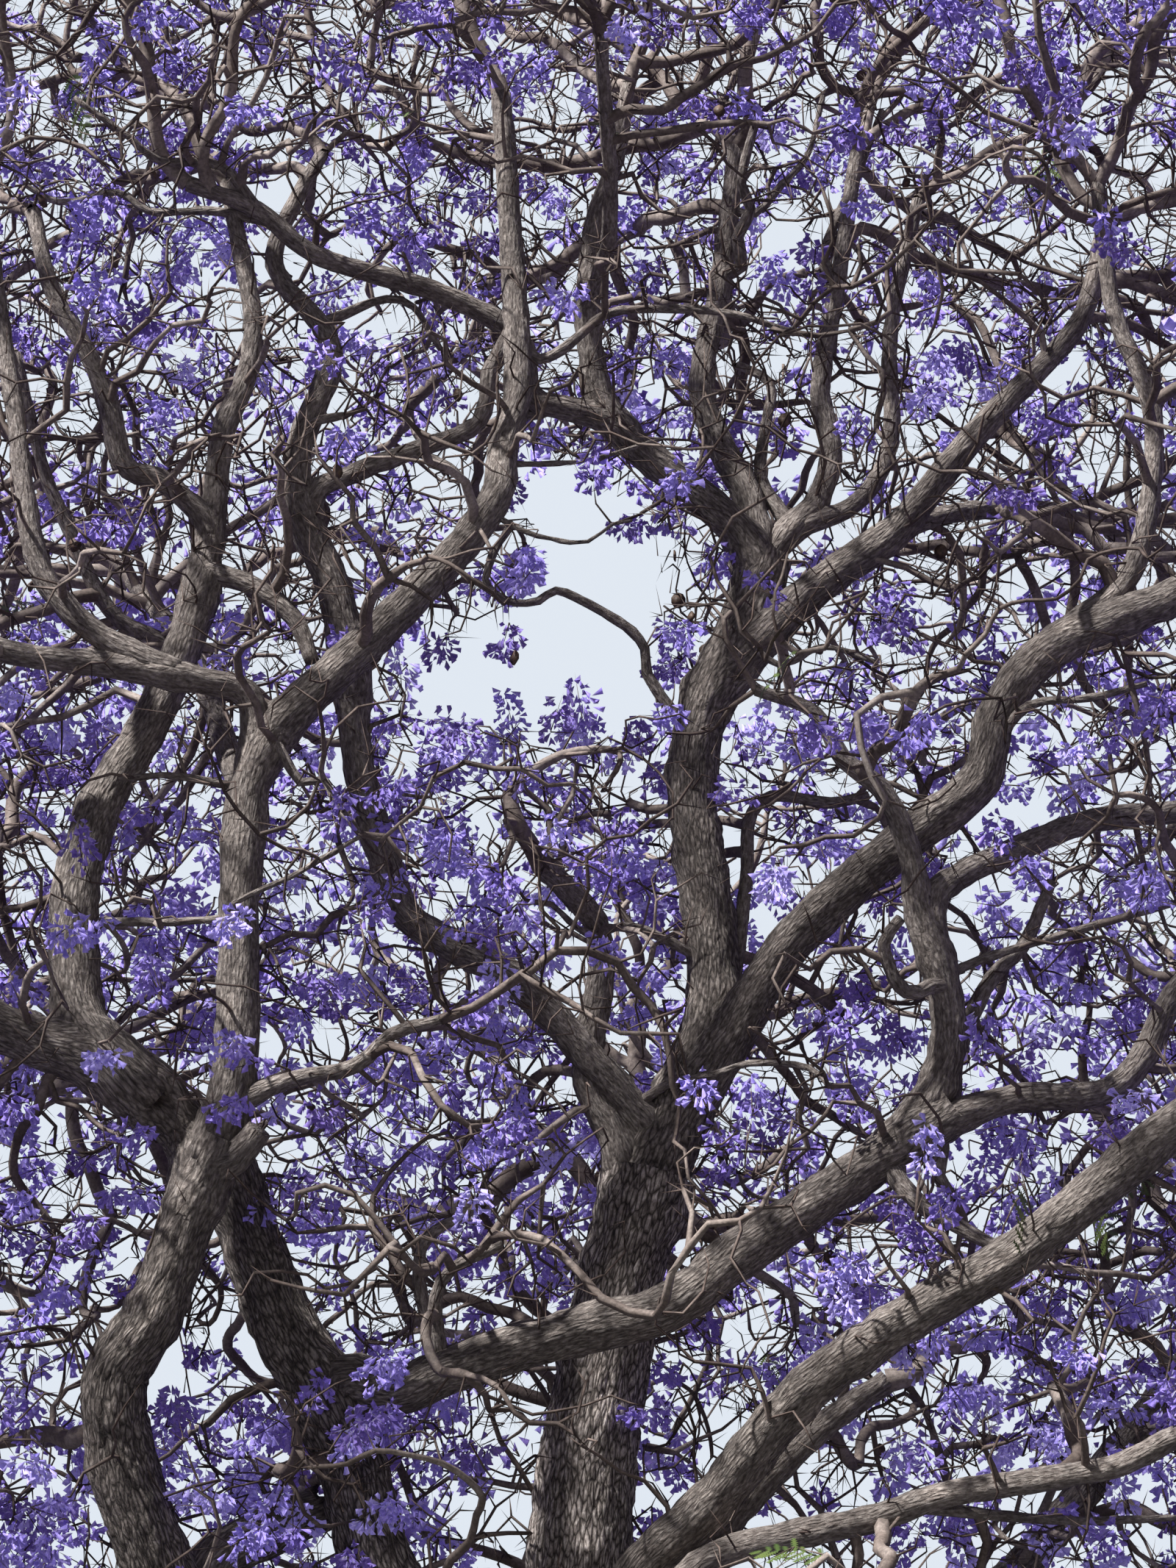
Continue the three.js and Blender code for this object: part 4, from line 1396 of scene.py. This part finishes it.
def leaf_shape(rng):
    """A fern-like leaf one unit long: a midrib with paired side ribs, each lined with
    leaflets."""
    places, threes = [], []

    def blade(a, b, c):
        threes.append((len(places), len(places) + 1, len(places) + 2))
        places.extend([a, b, c])

    pairs = 8
    for pair in range(pairs):
        share = 0.16 + 0.8 * pair / (pairs - 1)
        for way in (-1, 1):
            foot = np.array((share, 0, -0.12 * share * share))
            along = np.array((0.45, way, -0.18 + 0.1 * rng.normal()))
            along = along / np.linalg.norm(along)
            length = 0.36 * math.sin(math.pi * (0.18 + 0.68 * share))
            across = np.cross(along, (0, 0, 1))
            across = across / np.linalg.norm(across)
            leaflets = 7
            for n in range(leaflets):
                at = foot + along * length * (n + 0.4) / leaflets
                size = 0.055 * math.sin(math.pi * (0.25 + 0.6 * n / leaflets))
                wide = along * length * 0.60 / leaflets
                blade(at - wide, at + wide, at + across * size + wide)
                blade(at + wide, at - wide, at - across * size + wide)
    blade((0, 0.006, 0), (0, -0.006, 0), (0.97, 0, -0.12))
    return np.array(places, float), np.array(threes)


# Materials.

def new_material(name, colour, roughness):
    """A plain material, and its node tree."""
    material = bpy.data.materials.new(name)
    material.use_nodes = True
    shader = material.node_tree.nodes["Principled BSDF"]
    shader.inputs["Base Color"].default_value = (*colour, 1)
    shader.inputs["Roughness"].default_value = roughness
    return material, material.node_tree, shader


def node(tree, kind, **values):
    made = tree.nodes.new(kind)
    for name, value in values.items():
        if name in made.inputs:
            made.inputs[name].default_value = value
        else:
            setattr(made, name, value)
    return made


def ramp(tree, source, stops):
    """A colour ramp fed by a socket."""
    made = tree.nodes.new("ShaderNodeValToRGB")
    made.color_ramp.elements[0].position = stops[0][0]
    made.color_ramp.elements[0].color = (*stops[0][1], 1)
    made.color_ramp.elements[1].position = stops[-1][0]
    made.color_ramp.elements[1].color = (*stops[-1][1], 1)
    for position, colour in stops[1:-1]:
        element = made.color_ramp.elements.new(position)
        element.color = (*colour, 1)
    tree.links.new(source, made.inputs["Fac"])
    return made.outputs["Color"]


def mix_colours(tree, share, first, second, blend="MIX"):
    made = node(tree, "ShaderNodeMix", data_type="RGBA", blend_type=blend)
    if isinstance(share, float):
        made.inputs["Factor"].default_value = share
    else:
        tree.links.new(share, made.inputs["Factor"])
    tree.links.new(first, made.inputs["A"])
    tree.links.new(second, made.inputs["B"])
    return made.outputs["Result"]


def scaled(tree, source, scale):
    made = node(tree, "ShaderNodeVectorMath", operation="MULTIPLY")
    made.inputs[1].default_value = scale
    tree.links.new(source, made.inputs[0])
    return made.outputs["Vector"]


def bark_material():
    """Grey-brown bark: scaly and furrowed where it is old, smoother and paler where young."""
    material, tree, shader = new_material("bark", (0.2, 0.17, 0.14), 0.88)
    grain = node(tree, "ShaderNodeAttribute", attribute_name="grain").outputs["Vector"]
    age = node(tree, "ShaderNodeAttribute", attribute_name="age").outputs["Fac"]
    plates = node(tree, "ShaderNodeTexVoronoi", feature="DISTANCE_TO_EDGE", Scale=1.0)
    plates.inputs["Randomness"].default_value = 1.0
    tree.links.new(scaled(tree, grain, (54, 54, 13)), plates.inputs["Vector"])
    furrows = node(tree, "ShaderNodeTexNoise", Scale=1.0, Detail=6.0, Roughness=0.62)
    tree.links.new(scaled(tree, grain, (80, 80, 34)), furrows.inputs["Vector"])
    patches = node(tree, "ShaderNodeTexNoise", Scale=1.0, Detail=3.0, Roughness=0.6)
    tree.links.new(scaled(tree, grain, (7, 7, 3.4)), patches.inputs["Vector"])
    fine = node(tree, "ShaderNodeTexNoise", Scale=1.0, Detail=5.0, Roughness=0.7)
    tree.links.new(scaled(tree, grain, (160, 160, 90)), fine.inputs["Vector"])
    old = ramp(tree, furrows.outputs["Fac"], [
        (0.30, (0.046, 0.036, 0.032)), (0.42, (0.160, 0.134, 0.120)),
        (0.54, (0.290, 0.254, 0.230)), (0.68, (0.470, 0.425, 0.392))])
    edge = ramp(tree, plates.outputs["Distance"], [
        (0.0, (0.09, 0.08, 0.075)), (0.09, (0.56, 0.54, 0.52)), (0.22, (1.2, 1.2, 1.2))])
    old = mix_colours(tree, 1.0, old, edge, "MULTIPLY")
    young = ramp(tree, furrows.outputs["Fac"], [
        (0.30, (0.110, 0.084, 0.074)), (0.50, (0.270, 0.232, 0.212)),
        (0.68, (0.500, 0.450, 0.418))])
    colour = mix_colours(tree, age, young, old)
    tone = ramp(tree, patches.outputs["Fac"], [
        (0.30, (0.52, 0.49, 0.47)), (0.50, (0.86, 0.84, 0.81)), (0.72, (1.22, 1.18, 1.13))])
    colour = mix_colours(tree, 1.0, colour, tone, "MULTIPLY")
    # The thickest bark is made about twice as bright: partly the trunk's own paler grey bark,
    # partly painted light standing in for the sun that the crown keeps off it.
    pale = node(tree, "ShaderNodeAttribute", attribute_name="pale").outputs["Fac"]
    colour = mix_colours(tree, pale, colour, scaled(tree, colour, (2.0, 2.04, 2.12)))
    # Near-black where the bark is hollow: dark rotten wood in the knot hole and at the broken end,
    # and in the hole also painted shade inside the recess.
    hollow = node(tree, "ShaderNodeAttribute", attribute_name="hollow").outputs["Fac"]
    rot_and_painted_shade = ramp(tree, furrows.outputs["Fac"], [
        (0.35, (0.014, 0.009, 0.007)), (0.65, (0.060, 0.034, 0.024))])
    colour = mix_colours(tree, hollow, colour, rot_and_painted_shade)
    tree.links.new(colour, shader.inputs["Base Color"])
    rough = bump(tree, fine.outputs["Fac"], 0.35, 0.004)
    ridged = bump(tree, furrows.outputs["Fac"], 1.0, 0.015, rough)
    plated = bump(tree, plates.outputs["Distance"], 0.9, 0.018, ridged)
    tree.links.new(plated, shader.inputs["Normal"])
    return material


def bump(tree, height, strength, distance, normal=None):
    made = node(tree, "ShaderNodeBump", Strength=strength, Distance=distance)
    tree.links.new(height, made.inputs["Height"])
    if normal is not None:
        tree.links.new(normal, made.inputs["Normal"])
    return made.outputs["Normal"]


def twig_material():
    material, tree, shader = new_material("twig", (0.16, 0.12, 0.10), 0.8)
    places = node(tree, "ShaderNodeTexCoord").outputs["Object"]
    age = node(tree, "ShaderNodeAttribute", attribute_name="age").outputs["Fac"]
    patches = node(tree, "ShaderNodeTexNoise", Scale=2.2, Detail=4.0, Roughness=0.65)
    tree.links.new(places, patches.inputs["Vector"])
    fine = node(tree, "ShaderNodeTexNoise", Scale=70.0, Detail=4.0, Roughness=0.6)
    tree.links.new(places, fine.inputs["Vector"])
    # Thin twigs are far darker than thick ones: partly their own darker young bark, partly painted
    # shade, as the crown's thin twigs stand in its shade.
    thin = ramp(tree, patches.outputs["Fac"], [
        (0.32, (0.030, 0.017, 0.013)), (0.50, (0.072, 0.044, 0.035)),
        (0.68, (0.190, 0.144, 0.122))])
    thick = ramp(tree, patches.outputs["Fac"], [
        (0.32, (0.080, 0.056, 0.046)), (0.50, (0.190, 0.150, 0.131)),
        (0.68, (0.400, 0.342, 0.310))])
    tone = mix_colours(tree, age, thin, thick)
    speckle = ramp(tree, fine.outputs["Fac"], [
        (0.32, (0.62, 0.60, 0.58)), (0.66, (1.22, 1.20, 1.16))])
    tree.links.new(mix_colours(tree, 1.0, tone, speckle, "MULTIPLY"),
                   shader.inputs["Base Color"])
    tree.links.new(bump(tree, fine.outputs["Fac"], 0.5, 0.003), shader.inputs["Normal"])
    return material


TINTS = ((0.205, 0.152, 0.560), (0.148, 0.096, 0.440), (0.290, 0.235, 0.670),
         (0.108, 0.062, 0.330))
# Each tint's lips are a paler copy of it: partly the flowers' paler mouths, partly painted
# highlight.
LIP = (1.45, 1.50, 1.20)
# A painted glow in each petal's tint: it stands in for light coming through the petals and lifts
# their shaded sides.
PAINTED_GLOW = 0.15
TINT_SHARES = (0.38, 0.28, 0.18, 0.16)


def petal_material(name, colour):
    """Thin matt petals, a little paler in places, with a painted glow that stands in for light
    coming through them.
    """
    material, tree, shader = new_material(name, colour, 0.55)
    places = node(tree, "ShaderNodeTexCoord").outputs["Object"]
    fine = node(tree, "ShaderNodeTexNoise", Scale=40.0, Detail=2.0)
    tree.links.new(places, fine.inputs["Vector"])
    low = tuple(0.72 * part for part in colour)
    high = tuple(min(1.0, 1.25 * part + 0.03) for part in colour)
    tree.links.new(ramp(tree, fine.outputs["Fac"], [(0.35, low), (0.65, high)]),
                   shader.inputs["Base Color"])
    shader.inputs["Sheen Weight"].default_value = 0.25
    # Painted glow: the petals give off light in their own tint, which brightens them in shade.
    shader.inputs["Emission Color"].default_value = (*colour, 1)
    shader.inputs["Emission Strength"].default_value = PAINTED_GLOW
    return material


def pod_material():
    material, tree, shader = new_material("pod", (0.08, 0.045, 0.03), 0.6)
    places = node(tree, "ShaderNodeTexCoord").outputs["Object"]
    fine = node(tree, "ShaderNodeTexNoise", Scale=60.0, Detail=3.0)
    tree.links.new(places, fine.inputs["Vector"])
    tree.links.new(ramp(tree, fine.outputs["Fac"], [
        (0.35, (0.045, 0.026, 0.018)), (0.65, (0.150, 0.092, 0.060))]),
        shader.inputs["Base Color"])
    return material


def leaf_material():
    material, tree, shader = new_material("leaf", (0.10, 0.19, 0.035), 0.5)
    places = node(tree, "ShaderNodeTexCoord").outputs["Object"]
    fine = node(tree, "ShaderNodeTexNoise", Scale=6.0, Detail=2.0)
    tree.links.new(places, fine.inputs["Vector"])
    tree.links.new(ramp(tree, fine.outputs["Fac"], [
        (0.35, (0.046, 0.084, 0.018)), (0.65, (0.116, 0.152, 0.036))]),
        shader.inputs["Base Color"])
    return material


def floor_material():
    """A pale matt floor that sends little of its light back up into the crown."""
    material, tree, shader = new_material("floor", FLOOR_COLOUR, 0.9)
    dull = node(tree, "ShaderNodeBsdfDiffuse", Color=(0.10, 0.10, 0.10, 1))
    choice = node(tree, "ShaderNodeMixShader")
    looks = node(tree, "ShaderNodeLightPath")
    tree.links.new(looks.outputs["Is Camera Ray"], choice.inputs["Fac"])
    tree.links.new(dull.outputs["BSDF"], choice.inputs[1])
    tree.links.new(shader.outputs["BSDF"], choice.inputs[2])
    output = tree.nodes["Material Output"]
    tree.links.new(choice.outputs["Shader"], output.inputs["Surface"])
    return material


# Building the tree.

def build():
    rng = np.random.default_rng(SEED)
    limbs, middles, profile = trace_limbs()
    bark = bark_material()
    twig = twig_material()
    petals = []
    for number, colour in enumerate(TINTS):
        # The lip materials are paler copies of the tints, partly painted highlight.
        lip = tuple(min(part * rise, 0.95) for part, rise in zip(colour, LIP))
        petals.append(petal_material(f"tube_{number}", colour))
        petals.append(petal_material(f"lip_{number}", lip))
    thin = thin_limbs(limbs)
    build_bark(limbs, thin, middles, profile, bark)
    clear = ClearStretches(limbs)
    growth = grow_crown(limbs, thin, clear, rng)
    build_crown(growth, thin, clear, twig, petals, rng)


def build_bark(limbs, thin, middles, profile, bark):
    leaders = ("centre_leader", "left_leader", "low_left_leader", "high_leader")
    left = [name for name in limbs if name in (
        "left_upright", "sweeping_bough", "top_left_bough", "level_bough", "hooked_bough",
        "left_bough", "left_stem", "left_stem_top", "dark_left_bough", "broken_limb",
        "sinuous_limb", "sinuous_limb_top", "middle_bough", "rear_top_left",
        "front_bough_left")]
    right = [name for name in limbs if name not in left and name not in leaders
             and name != "trunk"]
    bark_piece("trunk_bark", [trunk_tube(middles, profile, limbs, 1)], ["trunk"], bark)
    number = 2
    for name, group in (("leader_bark", leaders), ("left_bough_bark", left),
                        ("right_bough_bark", right)):
        parts = []
        for limb in group:
            parts.append(bark_tube(limbs[limb], limbs, number))
            number += 1
        bark_piece(name, parts, group, bark)
    parts = [bark_tube(limb, limbs, 80 + i) for i, limb in enumerate(thin.values())]
    bark_piece("thin_branch_bark", parts, [], bark)


def grow_crown(limbs, thin, clear, rng):
    growth = Growth()
    seeds = limb_seeds(limbs)
    every = limb_seeds({**limbs, **thin})
    masses = []
    for region, names in enumerate(REGIONS.values()):
        for name in names if region >= VEILS else ():
            mass = Mass(name)
            masses.append(mass)
            grow_in_mass(growth, mass, every if name == "inner_centre" else seeds, region,
                         clear, rng)
    grow_veil(growth, masses, every, clear, rng)
    grow_outer_veil(growth, masses, clear, rng)
    finish_growth(growth)
    return growth


SPRAYS_ALL_OVER = ((0, 48), (533, 25), (800, 6), (1066, 28), (1600, 23), (2133, 12))
SPRAYS_FAR = 3500
SPRAY_CELL = 64
SPRAY_CLUMP = 0.42
OLD_STALKS_AT_TIPS = 12000
OLD_STALKS_ON_TWIGS = 6000
OLD_STALKS_FAR = 2500
OLD_STALK_LENGTHS = (0.07, 0.18)
OLD_STALK_RADII = np.array((0.0036, 0.001))
THIN_ENOUGH = 0.012
POD_COUNT = 110
LEAF_COUNT = 34
LEAF_LENGTHS = (0.24, 0.38)
POD_PLACES = [(700, 893), (918, 757), (923, 815), (940, 840), (958, 885), (605, 640)]
LEAF_PLACES = [(1520, 1620), (1560, 1600), (1590, 1640), (1375, 1715), (1080, 860),
               (820, 2070), (1120, 2050), (1590, 1560)]


def sprays_wanted(across, down):
    """How many sprays a square metre of the photograph's frame wants at each pixel."""
    wanted = np.interp(down, *np.transpose(SPRAYS_ALL_OVER))
    for middle_across, middle_down, half_wide, half_high, more in BLOSSOM_PLACES + FRONT_BLOSSOM:
        away = np.hypot((across - middle_across) / half_wide, (down - middle_down) / half_high)
        wanted += more * np.clip(1.6 - away, 0, 1)
    return wanted


def in_front_blossom(across, down):
    """Whether each pixel is in a place where blossom hangs in front of the limbs."""
    inside = np.zeros(len(across), bool)
    for middle_across, middle_down, half_wide, half_high, _ in FRONT_BLOSSOM:
        inside |= np.hypot((across - middle_across) / half_wide,
                           (down - middle_down) / half_high) < 1
    return inside


def flowering_tips(growth, tips, clear, rng):
    """The twigs' ends that flower, in clumps, as thick as the photograph shows in its frame."""
    places = growth.places[tips]
    clump = np.clip((cloud(places / SPRAY_CLUMP, 31) - 0.30) * 3.2, 0.05, 1.6) ** 1.6
    seen_here = in_view(places)
    across, down = pixels(places)
    cell = (across // SPRAY_CELL + 100).astype(int) * 1000 + (down // SPRAY_CELL + 100).astype(int)
    _, cell = np.unique(cell, return_inverse=True)
    crowd = np.bincount(cell, weights=clump * seen_here)[cell]
    room = (SPRAY_CELL * PIXEL) ** 2
    chance = sprays_wanted(across, down) * room * clump / np.maximum(crowd, 1e-6)
    far = ~seen_here
    chance[far] = SPRAYS_FAR * clump[far] / clump[far].sum()
    middles = places + growth.ways[tips] * SPRAY_LENGTH / 2
    hiding = clear.hidden_by(middles, SPRAY_REACH / PIXEL) & ~in_front_blossom(across, down)
    chance[hiding] *= 1 - CLEAR_OF_BLOSSOM
    chance[clear.shaded_by(middles)] *= 1 - LIT_SHARE
    return tips[rng.random(len(tips)) < chance]


def old_stalks(growth, tips, clear, rng):
    """The wiry stalks that old flowers leave: the node that each is on, its foot and its end."""
    thin = np.flatnonzero((growth.parents >= 0) & (growth.radii < THIN_ENOUGH))
    near = in_view(growth.places)
    nodes = np.concatenate([rng.choice(tips[near[tips]], OLD_STALKS_AT_TIPS),
                            rng.choice(thin[near[thin]], OLD_STALKS_ON_TWIGS),
                            rng.choice(tips[~near[tips]], OLD_STALKS_FAR)])
    starts = growth.places[nodes]
    ways = unit(growth.ways[nodes] + 0.7 * rng.normal(size=starts.shape) + 0.15 * UP)
    ends = starts + ways * rng.uniform(*OLD_STALK_LENGTHS, (len(nodes), 1))
    kept = ~in_sky_gap(ends) & ~clear.hidden_by(ends)
    return nodes[kept], starts[kept], ends[kept]


def build_crown(growth, thin, clear, twig, petals, rng):
    chains = chains_of(growth)
    tips = np.flatnonzero((growth.heavy < 0) & (growth.parents >= 0))
    flowering = flowering_tips(growth, tips, clear, rng)
    nodes_with_stalks, starts, ends = old_stalks(growth, tips, clear, rng)
    for region, (region_name, nodes) in enumerate(REGIONS.items()):
        runs = []
        for run in chains:
            if growth.region[run[-1]] != region:
                continue
            radii = growth.radii[run].copy()
            radii[0] = radii[1] * 1.2
            radii[-1] = radii[-1] * 0.6
            runs.append((growth.places[run], radii))
        for stalk in np.flatnonzero(growth.region[nodes_with_stalks] == region):
            runs.append((np.array((starts[stalk], ends[stalk])), OLD_STALK_RADII))
        here = flowering[growth.region[flowering] == region]
        points, faces, looks, stalks = sprays(growth.places[here], growth.ways[here], rng)
        piece = new_piece(f"blossom_{region_name}", points, faces, NO_FOURS, petals, looks)
        put_on_tree(piece, nodes)
        runs_to_piece(f"twigs_{region_name}", runs + stalks, nodes, twig)
    hang_small_things(growth, thin, tips, clear, twig, rng)


def hanging_places(growth, thin):
    """For each pod that shows in the photograph, the place just above it that it hangs from."""
    places = np.concatenate([growth.places] + [limb.line for limb in thin.values()])
    across, down = pixels(places)
    chosen = []
    for pod_across, pod_down in POD_PLACES:
        above = pod_down - 10 - down
        gap = 2 * np.abs(across - pod_across) + np.where(above > 0, above, 9999)
        chosen.append(places[gap.argmin()])
    return chosen


def hang_small_things(growth, thin, tips, clear, twig, rng):
    """Pods on short stalks, and the few leaves."""
    every = tuple(dict.fromkeys(name for names in REGIONS.values() for name in names))
    hidden = clear.hidden_by(growth.places[tips], 20)
    reaching = in_sky_gap(growth.places[tips] + growth.ways[tips] * LEAF_LENGTHS[1], 1.2)
    tips = tips[~hidden & ~reaching & ~in_sky_gap(growth.places[tips], 1.3)]
    scattered = rng.choice(tips, POD_COUNT, replace=False)
    starts = np.vstack([growth.places[scattered], hanging_places(growth, thin)])
    count = len(starts)
    ways = unit(-UP + 0.25 * rng.normal(size=(count, 3)))
    ends = starts + ways * rng.uniform(0.03, 0.09, (count, 1))
    for number, place in enumerate(POD_PLACES, start=POD_COUNT):
        ends[number] = seen(place[0], place[1] - 9, starts[number][1])
        ways[number] = -UP
    points, faces = copies(pod_shape(), ways, rng.uniform(0, 6.3, count),
                           rng.uniform(0.055, 0.078, count), ends)
    pods = new_piece("pods", points, faces, NO_FOURS, [pod_material()], smooth=False)
    put_on_tree(pods, every)
    stalks = [(np.array([a, (a + b) / 2 + 0.004, b]), np.array([0.0028, 0.0024, 0.0024]))
              for a, b in zip(starts, ends)]
    runs_to_piece("pod_stalks", stalks, every, twig)
    across, down = pixels(growth.places[tips])
    chosen = rng.choice(tips, LEAF_COUNT, replace=False)
    for number, place in enumerate(LEAF_PLACES):
        gap = np.hypot(across - place[0], down - place[1]) + 40 * growth.places[tips, 1]
        chosen[number] = tips[gap.argmin()]
    ways = unit(growth.ways[chosen] * (1, 0.4, 1) + 0.5 * rng.normal(size=(LEAF_COUNT, 3)))
    points, faces = copies(leaf_shape(rng), ways, rng.uniform(-0.6, 0.6, LEAF_COUNT),
                           rng.uniform(*LEAF_LENGTHS, LEAF_COUNT), growth.places[chosen])
    leaves = new_piece("leaves", points, faces, NO_FOURS, [leaf_material()], smooth=False)
    put_on_tree(leaves, every)


# The floor, the light and the camera.

FLOOR_REACH = 400.0
FLOOR_SIDES = 96
FLOOR_COLOUR = (0.29, 0.29, 0.285)
SKY_COLOUR = (0.75, 0.81, 0.89)


def build_stage():
    angles = 2 * math.pi * np.arange(FLOOR_SIDES) / FLOOR_SIDES
    rim = np.stack([np.cos(angles), np.sin(angles), 0 * angles], axis=1) * FLOOR_REACH
    faces = cap_faces(np.arange(FLOOR_SIDES), FLOOR_SIDES, False)
    floor = new_piece("floor", np.vstack([rim, np.zeros(3)]), faces, NO_FOURS,
                      [floor_material()], smooth=False)
    world = bpy.data.worlds.new("sky")
    bpy.context.scene.world = world
    world.use_nodes = True
    tree = world.node_tree
    fill = tree.nodes["Background"]
    fill.inputs["Color"].default_value = (*SKY_COLOUR, 1)
    fill.inputs["Strength"].default_value = 0.10
    backdrop = node(tree, "ShaderNodeBackground", Color=(*SKY_COLOUR, 1), Strength=1.0)
    choice = node(tree, "ShaderNodeMixShader")
    looks = node(tree, "ShaderNodeLightPath")
    tree.links.new(looks.outputs["Is Camera Ray"], choice.inputs["Fac"])
    tree.links.new(fill.outputs["Background"], choice.inputs[1])
    tree.links.new(backdrop.outputs["Background"], choice.inputs[2])
    tree.links.new(choice.outputs["Shader"], tree.nodes["World Output"].inputs["Surface"])
    add_sun("key", 9.0, 2.5, SUN_WAY)
    add_sun("fill", 0.33, 50.0, (0.05, 0.90, -0.40))


def add_sun(name, strength, softness, way):
    """A soft distant light that shines along `way`."""
    light = bpy.data.lights.new(name, "SUN")
    light.energy = strength
    light.angle = math.radians(softness)
    lamp = bpy.data.objects.new(name, light)
    lamp.rotation_mode = "QUATERNION"
    lamp.rotation_quaternion = Vector(way).to_track_quat("-Z", "Y")
    bpy.context.scene.collection.objects.link(lamp)


def add_camera():
    camera = bpy.data.cameras.new("camera")
    camera.sensor_width = 36.0
    camera.lens = camera.sensor_width * SIGHT_LENGTH / (PHOTO_HIGH * PIXEL)
    camera.clip_end = 1000.0
    holder = bpy.data.objects.new("camera", camera)
    holder.location = Vector(EYE)
    holder.rotation_mode = "QUATERNION"
    holder.rotation_quaternion = Vector(FORWARD).to_track_quat("-Z", "Y")
    bpy.context.scene.collection.objects.link(holder)
    bpy.context.scene.camera = holder


build()
build_stage()
add_camera()
bpy.context.scene.view_settings.view_transform = "Standard"
